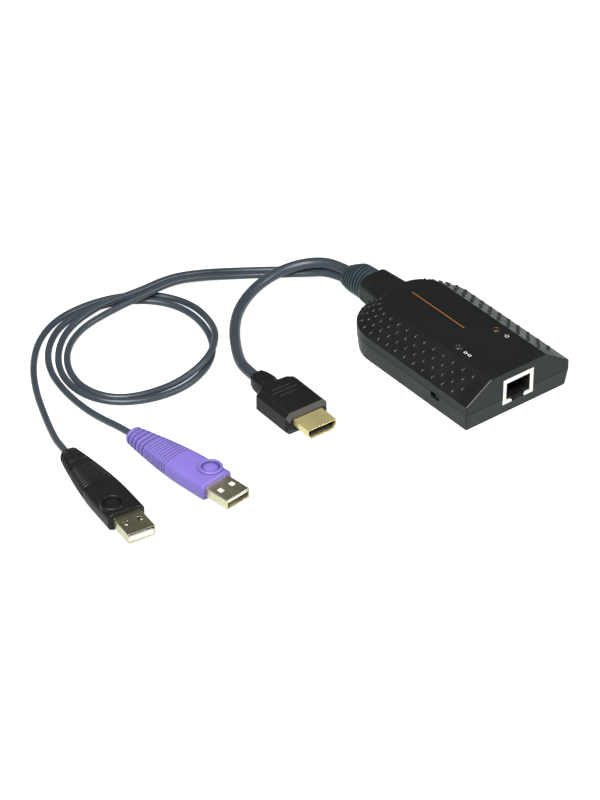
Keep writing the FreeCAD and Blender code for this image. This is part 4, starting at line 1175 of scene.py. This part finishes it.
@dataclass
class StrainRelief:
    """The ribbed barrel between the housing's neck and the cords, in millimetres."""

    start: float = 45.0
    length: float = 16.0
    bend: float = 10.0
    half_wide: tuple[float, float, float] = (7.3, 6.7, 4.7)
    top: tuple[float, float] = (17.0, 12.5)
    bottom: tuple[float, float] = (2.4, 4.0)
    ribs: int = 7
    groove: float = 1.1
    closes_from: float = 0.5
    ribbed: tuple[float, float] = (0.12, 0.93)
    end_rounding: float = 0.7
    rounds_from: float = 0.96

    def _groove_depth(self, share: float, lift: float) -> float:
        """How deep the surface lies below the barrel: ribs over the top, plain underneath.

        Args:
            share: How far along the barrel, from 0 to 1.
            lift: How high round it, from -1 underneath to 1 on top.

        Returns:
            The depth, in millimetres.
        """
        first, last = self.ribbed
        if not first < share < last:
            return 0.0
        phase = (share - first) / (last - first) * self.ribs % 1.0
        reach = min(1.0, max(0.0, (lift + 0.48) / 0.25))
        return self.groove * reach * max(0.0, math.sin(2 * math.pi * phase)) ** 0.45

    def barrel(self) -> bpy.types.Object:
        """The ribbed outside, closed in on the cords at its far end.

        Returns:
            The barrel.
        """
        turn = math.radians(self.bend)
        reach = self.length / turn
        rings: list[list[Vector]] = []
        depths: list[float] = []
        steps, count = 170, 80
        for step in range(steps + 1):
            share = step / steps
            angle = turn * share
            late = max(0.0, (share - self.closes_from) / (1 - self.closes_from))
            high = self.top[0] + (self.top[1] - self.top[0]) * late ** 1.15
            low = self.bottom[0] + (self.bottom[1] - self.bottom[0]) * late ** 2
            wide = self.half_wide[0] + (self.half_wide[1] - self.half_wide[0]) * min(share * 2, 1)
            wide += (self.half_wide[2] - self.half_wide[1]) * late ** 1.6
            rounding = self.end_rounding * max(0.0, (share - self.rounds_from) / 0.04) ** 2
            centre = Vector((-reach * (1 - math.cos(angle)), self.start + reach * math.sin(angle),
                             (high + low) / 2))
            side = Vector((math.cos(angle), math.sin(angle), 0))
            ring = []
            for place in range(count):
                around = 2 * math.pi * place / count
                lift = math.sin(around)
                sunk = self._groove_depth(share, lift) + rounding
                # Painted shade in the grooves, as strong as the groove is deep.
                depths.append(0.8 * self._groove_depth(share, lift) / self.groove)
                ring.append(centre + side * (wide - sunk) * math.cos(around)
                            + Vector((0, 0, ((high - low) / 2 - sunk) * lift)))
            rings.append(ring)
        mesh = shade_recess(loft("ribbed_boot", rings), rings, depths)
        return smooth(add_object("ribbed_boot", mesh, "boot_slate"), 60)

    def build(self) -> bpy.types.Object:
        """Build the barrel, hand it to the frame and return it."""
        return settle(self.barrel(), "strain_relief_boot")


# ---------------------------------------------------------------- plugs

RING_POINTS = 64
SHELL_EDGE = 0.1


def superellipse(y: float, middle: float, half_wide: float, half_high: float, power: float,
                 count: int = RING_POINTS) -> list[Vector]:
    """A rounded-rectangle ring across a plug, in the plug's own millimetres.

    Args:
        y: Where the ring lies.
        middle: The height of its middle.
        half_wide: Half its width.
        half_high: Half its height.
        power: How square it is: 2 is an ellipse.
        count: How many points it has.

    Returns:
        The ring's points.
    """
    ring = []
    for step in range(count):
        angle = 2 * math.pi * step / count
        cosine, sine = math.cos(angle), math.sin(angle)
        x = half_wide * math.copysign(abs(cosine) ** (2 / power), cosine)
        z = half_high * math.copysign(abs(sine) ** (2 / power), sine)
        ring.append(Vector((x, y, middle + z)))
    return ring


@dataclass(frozen=True)
class PlugPlace:
    """Where a plug lies: the middle of its grip's front face and its turn in degrees."""

    at: tuple[float, float]
    turn: float

    def set(self, piece: bpy.types.Object) -> bpy.types.Object:
        """Move a piece's mesh from the plug's own frame to its place.

        Args:
            piece: The piece to move.

        Returns:
            The same piece.
        """
        move = Matrix.Translation(Vector((*self.at, 0)) * MM) @ Matrix.Rotation(
            math.radians(self.turn), 4, "Z")
        piece.data.transform(move)
        piece.data.update()
        return piece


# The thumb ring's turned profile: radius, height and how shaded each place is.
THUMB_RING = (
    (0.0, 1.62, 0.0), (1.5, 1.58, 0.0), (2.6, 1.42, 0.15), (3.3, 1.2, 0.6), (3.5, 1.24, 0.7),
    (3.75, 1.9, 0.25), (3.95, 2.12, 0.0), (4.2, 2.2, 0.0), (4.45, 2.2, 0.0), (4.7, 2.08, 0.0),
    (4.9, 1.8, 0.0), (4.98, 1.4, 0.4), (5.0, 0.4, 0.4), (0.0, 0.4, 0.4),
)


@dataclass
class KeyboardPlug:
    """A series A plug with a grooved, tapering grip, in millimetres."""

    colour: str
    finish: str
    place: PlugPlace
    ring_side: float
    middle: float = 4.2
    half_wide: float = 8.0
    half_high: float = 4.0
    length: float = 48.5
    taper_from: float = 14.0
    narrows: float = 4.3
    thins: float = 0.7
    deep_run: float = 14.0
    deep_groove: tuple[float, float] = (2.36, 0.85)
    plain_tail: float = 2.2
    fine_from: float = 21.0
    fine_groove: tuple[float, float] = (1.5, 0.34)
    ring_back: float = 6.3

    def _half_sizes(self, y: float) -> tuple[float, float]:
        """The grip's half width and half height at a distance from its front.

        Args:
            y: The distance.

        Returns:
            Half the width and half the height.
        """
        share = max(0.0, (y - self.taper_from) / (self.length - self.taper_from))
        return (self.half_wide - self.narrows * share ** 1.6,
                self.half_high - self.thins * share ** 2)

    def _sunk(self, y: float) -> float:
        """Groove depth: narrow and deep near the cord, fine and shallow further on.

        Args:
            y: The distance from the grip's front.

        Returns:
            The depth, in millimetres.
        """
        deep_from = self.length - self.deep_run
        if deep_from < y < self.length - self.plain_tail:
            pitch, depth = self.deep_groove
            return depth * self._pulse((y - deep_from) / pitch)
        if self.fine_from < y <= deep_from:
            pitch, depth = self.fine_groove
            return depth * self._pulse((y - self.fine_from) / pitch)
        return 0.0

    @staticmethod
    def _pulse(turns: float) -> float:
        """A rounded dip in each second half turn.

        Args:
            turns: How many turns along.

        Returns:
            The dip, from 0 to 1.
        """
        phase = turns % 1.0
        return math.sin(math.pi * (phase - 0.5) * 2) ** 0.7 if phase > 0.5 else 0.0

    def grip(self) -> bpy.types.Object:
        """The moulded grip, grooved and hollow at its front.

        Returns:
            The grip.
        """
        rings: list[list[Vector]] = []
        depths: list[float] = []
        steps = 260
        for step in range(steps + 1):
            y = self.length * step / steps
            wide, high = self._half_sizes(y)
            nose = 0.6 * (1 - min(y / 0.6, 1.0)) ** 2
            tail = 1.5 * max(0.0, (y - self.length + 1.5) / 1.5) ** 2
            groove = self._sunk(y)
            sunk = groove + nose + tail
            # Painted shade in the grooves, stronger in the fine grooves than in the deep ones.
            shade = 0.95 if y > self.length - self.deep_run else 1.5
            depths += [min(0.8, groove * shade)] * RING_POINTS
            power = 4.2 - 1.7 * min(1.0, y / self.length)
            rings.append(superellipse(y, self.middle, wide - sunk, high - sunk, power))
        mesh = shade_recess(loft("grip", rings), rings, depths)
        piece = add_object(f"{self.colour}_grip", mesh, self.finish)
        mouth = block((-6.0, -1, self.middle - 2.25), (6.0, 8, self.middle + 2.25))
        carve(piece, [mouth], "DIFFERENCE")
        return smooth(self.place.set(piece), 50)

    def thumb_ring(self) -> bpy.types.Object:
        """The raised ring on the grip, its middle dished.

        Returns:
            The ring.
        """
        top = self.middle + self.half_high
        centre = Vector((self.ring_side, self.ring_back, top - 1.2))
        rings = turned_rings([(radius, height) for radius, height, _ in THUMB_RING], centre)
        mesh = shade_recess(loft("thumb_ring", rings), rings,
                            [shade for _, _, shade in THUMB_RING for _ in rings[0]])
        return smooth(self.place.set(add_object(f"{self.colour}_ring", mesh, self.finish)), 50)

    def build(self) -> list[bpy.types.Object]:
        """Build the plug, hand it to the frame and return its pieces.

        Returns:
            The plug's pieces.
        """
        grip = settle(self.grip(), f"{self.colour}_plug_grip")
        ring = settle(self.thumb_ring(), None)
        shell = soften(solid_copy(f"{self.colour}_shell", f"{self.colour}_plug_shell",
                                  "nickel_shell"), SHELL_EDGE, 2)
        settle(shell, f"{self.colour}_plug_shell")
        return [grip, ring, shell, frame["nodes"][f"{self.colour}_plug_tongue"],
                frame["nodes"][f"{self.colour}_plug_contacts"]]


def turned_rings(profile: Sequence[tuple[float, float]], centre: Vector, count: int = 48
                 ) -> list[list[Vector]]:
    """The rings of a turned form about an upright axis, from radius and height pairs.

    Args:
        profile: The radius and height of each ring.
        centre: The foot of the axis.
        count: How many points each ring has.

    Returns:
        The rings.
    """
    return [[centre + Vector((max(radius, 0.001) * math.cos(2 * math.pi * step / count),
                              max(radius, 0.001) * math.sin(2 * math.pi * step / count), height))
             for step in range(count)] for radius, height in profile]


@dataclass
class VideoPlug:
    """The video plug: faceted grip, gold shell, dark insulator and contacts."""

    edge: float = 0.24
    # How much lighter the grip's rounded edges and front chamfer are made: painted highlights.
    top_painted_highlight: float = 1.5
    side_painted_highlight: float = 0.3
    chamfer_reach: float = 1.4
    chamfer_painted_highlight: float = 6.0

    def _painted_highlight(self, middle: Vector, normal: Vector) -> float:
        """How much painted highlight a rounded edge of the grip gets: more where it faces up.

        Args:
            middle: The middle of one of its faces, in millimetres; not used.
            normal: That face's normal.

        Returns:
            How far the recess goes below zero.
        """
        return self.top_painted_highlight if normal.z > 0.2 else self.side_painted_highlight

    def build(self) -> list[bpy.types.Object]:
        """Soften the solids, hand them to the frame and return the plug's pieces.

        Returns:
            The plug's pieces.
        """
        grip = soften_painted_highlight(solid_copy("video_grip", "video_plug_grip", "grip_slate"), self.edge,
                           self._painted_highlight)
        # The front chamfer's faces that look up and forward are lightened: a painted highlight.
        front = min(vertex.co.y for vertex in grip.data.vertices)
        chamfer_end = front + self.chamfer_reach * MM
        recess = grip.data.attributes["recess"].data
        for polygon in grip.data.polygons:
            if polygon.center.y < chamfer_end and polygon.normal.z > 0.3 and polygon.normal.y < 0:
                recess[polygon.index].value = -self.chamfer_painted_highlight
        settle(grip, "video_plug_grip")
        shell = soften(solid_copy("video_shell", "video_plug_shell", "gold_shell"), SHELL_EDGE, 2)
        settle(shell, "video_plug_shell")
        return [grip, shell, frame["nodes"]["video_plug_insulator"],
                frame["nodes"]["video_plug_contacts"]]


# ---------------------------------------------------------------- cords

@dataclass
class Cord:
    """A free cord along control points in millimetres."""

    name: str
    node: str
    diameter: float
    length: float
    route: Sequence[Point]

    def build(self, with_pieces: Sequence[bpy.types.Object]) -> bpy.types.Object:
        """Lay the cord and hand it to the frame.

        Args:
            with_pieces: The plug's pieces and any other piece on the cord; not used.

        Returns:
            The cord's curve.
        """
        curve = bpy.data.curves.new(self.name, "CURVE")
        curve.dimensions = "3D"
        curve.resolution_u = 12
        curve.bevel_depth = self.diameter / 2 * MM
        curve.bevel_resolution = 7
        curve.use_fill_caps = True
        spline = curve.splines.new("NURBS")
        spline.points.add(len(self.route) - 1)
        for point, place in zip(spline.points, self.route):
            point.co = (*(Vector(place) * MM), 1.0)
        spline.order_u = 3
        spline.use_endpoint_u = True
        spline.use_smooth = True
        piece = bpy.data.objects.new(self.name, curve)
        bpy.context.scene.collection.objects.link(piece)
        curve.materials.append(PAINT.material("cord_jacket"))
        settle(piece, self.node)
        return piece


VIDEO_ROUTE: tuple[Point, ...] = (
    (-1.22, 60.93, 10.1), (-2.7, 69.3, 10.1), (-7.2, 76.8, 8.6), (-14.6, 82.2, 6.6),
    (-24.6, 84.3, 4.6), (-36.4, 82.0, 2.9), (-48.4, 75.0, 2.3), (-58.2, 64.8, 2.3),
    (-66.0, 53.0, 2.4), (-71.4, 43.4, 4.0), (-74.06, 36.1, 5.3), (-74.35, 25.5, 5.3),
)
BLACK_ROUTE: tuple[Point, ...] = (
    (-2.65, 60.68, 6.1), (-4.13, 69.05, 6.1), (-9.4, 78.6, 2.8), (-18.4, 87.6, 1.4),
    (-32.0, 96.6, 1.5), (-46.4, 103.4, 3.0), (-60.0, 104.6, 6.0), (-76.0, 103.8, 6.0),
    (-92.0, 106.4, 3.0), (-107.0, 105.4, 1.4), (-120.0, 97.0, 1.4), (-128.6, 84.0, 1.4),
    (-131.0, 69.0, 1.4), (-125.0, 56.2, 1.4), (-112.0, 50.4, 1.4), (-96.0, 48.6, 2.4),
    (-81.0, 51.0, 6.0), (-69.4, 61.6, 6.0), (-62.0, 76.4, 2.6), (-60.0, 92.0, 1.4),
    (-66.4, 105.6, 1.4), (-79.0, 114.8, 1.4), (-95.0, 118.6, 1.4), (-111.4, 117.2, 1.4),
    (-126.0, 109.0, 1.4), (-138.0, 95.6, 1.4), (-147.2, 79.8, 1.4), (-154.2, 63.0, 1.5),
    (-159.6, 49.6, 2.9), (-162.34, 41.3, 4.2), (-163.68, 30.37, 4.2),
)
VIOLET_ROUTE: tuple[Point, ...] = (
    (0.21, 61.185, 6.1), (-1.27, 69.55, 6.1), (-6.4, 80.4, 2.8), (-15.8, 90.2, 1.4),
    (-29.6, 99.8, 1.5), (-44.4, 106.8, 3.0), (-59.6, 108.2, 6.0), (-76.0, 107.6, 6.0),
    (-92.6, 110.4, 5.0), (-108.6, 110.0, 1.6), (-122.0, 100.4, 1.4), (-131.8, 85.8, 1.4),
    (-134.4, 69.4, 1.4), (-128.4, 55.2, 1.4), (-114.6, 46.6, 1.4), (-98.0, 44.8, 1.4),
    (-82.8, 50.2, 1.4), (-71.6, 60.4, 1.4), (-65.2, 75.2, 1.4), (-64.4, 90.4, 1.4),
    (-70.0, 102.6, 1.4), (-81.4, 111.6, 1.4), (-96.4, 115.2, 1.4), (-111.8, 113.0, 1.4),
    (-125.0, 103.4, 1.4), (-134.0, 90.0, 1.4), (-137.9, 74.0, 1.4), (-138.4, 57.4, 1.4),
    (-137.4, 44.6, 2.6), (-136.75, 36.45, 4.2), (-135.33, 25.53, 4.2),
)


@dataclass
class Leads:
    """The three cords with what is on them."""

    relief: StrainRelief = field(default_factory=StrainRelief)

    def build(self) -> None:
        """Build the strain relief, the plugs and the cords."""
        boot = self.relief.build()
        video = VideoPlug().build()
        black = KeyboardPlug("black", "grip_slate", PlugPlace((-169.1, -13.8), -7.0), -2.8).build()
        violet = KeyboardPlug("violet", "grip_violet", PlugPlace((-129.6, -18.6), 7.4), 2.8).build()
        Cord("video_lead", "video_cord", 4.6, 120.0, VIDEO_ROUTE).build([*video, boot])
        Cord("black_lead", "black_cord", 2.8, 444.0, BLACK_ROUTE).build(black)
        Cord("violet_lead", "violet_cord", 2.8, 445.0, VIOLET_ROUTE).build(violet)


# ---------------------------------------------------------------- what stays as packed

@dataclass
class Insides:
    """The jack and everything on the circuit board: softened or only finished."""

    softened: tuple[tuple[str, float], ...] = (("network_jack_body", 0.22),
                                               ("recovery_switch_slider", 0.12))
    # Two cuts in the jack's face: the latch's notch and a slightly wider mouth.
    face_cuts: tuple[tuple[Point, Point], ...] = (((-3.3, -48, 4.0), (3.3, -44.5, 6.0)),
                                                  ((-6.3, -48.5, 5.7), (6.3, -46.2, 14.6)))
    liner_front: float = -46.9
    liner_back: float = -33.05
    liner_wall: float = 0.15
    # Half width, bottom and top of the liner at the opening, the latch notch and the slot.
    liner_outside: tuple[Point, ...] = ((5.94, 6.81, 14.29), (3.29, 5.81, 7.0), (1.69, 5.31, 6.0))
    liner_inside: tuple[Point, ...] = ((5.82, 6.93, 14.17), (3.17, 5.93, 7.5), (1.57, 5.43, 6.5))

    def build(self) -> None:
        """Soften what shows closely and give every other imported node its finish."""
        slots = {part["node"]: part["material_slot"] for part in frame["record"]["subparts"]}
        for node, width in self.softened:
            piece = solid_copy(f"{node}_moulding", node, slots[node])
            if node == "network_jack_body":
                carve(piece, [block(low, high) for low, high in self.face_cuts], "DIFFERENCE")
            piece = soften(piece, width, 2)
            body = KNOB_BODY if node == "recovery_switch_slider" else ROOT_BODY
            settle(piece, node, body)
        slots["violet_plug_tongue"] = "tongue_pale"
        for node, thing in frame["nodes"].items():
            thing.data.materials.clear()
            thing.data.materials.append(PAINT.material(slots[node]))
        settle(self.jack_liner(), None)

    def jack_liner(self) -> bpy.types.Object:
        """The dark lining of the jack's opening, its latch notch and the slot below.

        Returns:
            The lining, open towards the front.
        """
        front, back = self.liner_front, self.liner_back
        solid, *steps = (block((-half, front, low), (half, back, high))
                         for half, low, high in self.liner_outside)
        hollows = [block((-half, front - 1, low), (half, back - self.liner_wall, high))
                   for half, low, high in self.liner_inside]
        piece = add_object("jack_liner", solid, "insert_black")
        carve(piece, steps, "UNION")
        return carve(piece, hollows, "DIFFERENCE")


# ---------------------------------------------------------------- studio

@dataclass(frozen=True)
class Softbox:
    """A square soft light: its place, aim and size in millimetres, and its power in watts."""

    name: str
    at: Point
    aim: Point
    size: float
    power: float


@dataclass
class Studio:
    """Pale floor, soft lights and the camera."""

    target: Point = (-65.5, 11.1, 0.0)
    azimuth: float = -38.0
    elevation: float = 35.7
    distance: float = 1411.0
    lens: float = 157.5
    lights: tuple[Softbox, ...] = (
        Softbox("overhead", (-470, -250, 660), (-60, 20, 0), 450, 13.8),
        Softbox("front_right", (360, -500, 470), (0, -30, 10), 160, 3.2),
    )
    pale: float = 0.84
    ambient: float = 0.10
    floor_reach: float = 9.0

    def build(self) -> None:
        """Build the floor, world, lights and camera."""
        scene = bpy.context.scene
        scene.view_settings.view_transform = "Standard"
        self._floor()
        self._world(scene)
        for softbox in self.lights:
            self._light(softbox)
        self._camera(scene)

    def _floor(self) -> None:
        """A pale sheet under the part, its half width in metres."""
        mesh = bpy.data.meshes.new("pale_floor")
        reach = self.floor_reach
        mesh.from_pydata([(-reach, -reach, -1e-5), (reach, -reach, -1e-5), (reach, reach, -1e-5),
                          (-reach, reach, -1e-5)], [], [(0, 1, 2, 3)])
        floor = bpy.data.objects.new("pale_floor", mesh)
        bpy.context.scene.collection.objects.link(floor)
        material = bpy.data.materials.new("pale_floor")
        material.use_nodes = True
        shader = material.node_tree.nodes["Principled BSDF"]
        shader.inputs["Roughness"].default_value = 0.9
        shader.inputs["Emission Strength"].default_value = self.pale
        seen = material.node_tree.nodes.new("ShaderNodeLightPath")
        for name, direct, bounced in (("Base Color", (0.36, 0.36, 0.36), (0.50, 0.545, 0.54)),
                                      ("Emission Color", (1, 1, 1), (0, 0, 0))):
            tone = material.node_tree.nodes.new("ShaderNodeMixRGB")
            tone.inputs["Color1"].default_value = (*bounced, 1)
            tone.inputs["Color2"].default_value = (*direct, 1)
            material.node_tree.links.new(seen.outputs["Is Camera Ray"], tone.inputs["Fac"])
            material.node_tree.links.new(tone.outputs["Color"], shader.inputs[name])
        mesh.materials.append(material)

    def _world(self, scene: bpy.types.Scene) -> None:
        """Even white surroundings: pale to the camera and faint as a light.

        Args:
            scene: The scene.
        """
        world = bpy.data.worlds.new("surroundings")
        world.use_nodes = True
        back = world.node_tree.nodes["Background"]
        back.inputs["Color"].default_value = (1.0, 1.0, 1.0, 1)
        seen = world.node_tree.nodes.new("ShaderNodeLightPath")
        tone = world.node_tree.nodes.new("ShaderNodeMapRange")
        tone.inputs["To Min"].default_value = self.ambient
        tone.inputs["To Max"].default_value = self.pale
        world.node_tree.links.new(seen.outputs["Is Camera Ray"], tone.inputs["Value"])
        world.node_tree.links.new(tone.outputs["Result"], back.inputs["Strength"])
        scene.world = world

    @staticmethod
    def _light(softbox: Softbox) -> None:
        """Hang one soft light.

        Args:
            softbox: Which light, where and how strong.
        """
        data = bpy.data.lights.new(softbox.name, "AREA")
        data.energy = softbox.power
        data.size = softbox.size * MM
        light = bpy.data.objects.new(softbox.name, data)
        bpy.context.scene.collection.objects.link(light)
        light.location = Vector(softbox.at) * MM
        way = Vector(softbox.aim) - Vector(softbox.at)
        light.rotation_euler = way.to_track_quat("-Z", "Y").to_euler()

    def _camera(self, scene: bpy.types.Scene) -> None:
        """The camera, aimed at the target from its bearing.

        Args:
            scene: The scene.
        """
        data = bpy.data.cameras.new("camera")
        data.lens = self.lens
        data.sensor_width = 36.0
        data.clip_end = 20.0
        camera = bpy.data.objects.new("camera", data)
        scene.collection.objects.link(camera)
        bearing, rise = math.radians(self.azimuth), math.radians(self.elevation)
        way = Vector((math.sin(bearing) * math.cos(rise), -math.cos(bearing) * math.cos(rise),
                      math.sin(rise)))
        camera.location = (Vector(self.target) + way * self.distance) * MM
        camera.rotation_euler = (-way).to_track_quat("-Z", "Y").to_euler()
        scene.camera = camera


def main() -> None:
    """Build the adapter lead and its studio in order."""
    logging.basicConfig(level=logging.INFO, format="%(name)s %(message)s")
    Insides().build()
    Housing().build()
    Leads().build()
    Studio().build()


if __name__ == "__main__":
    main()
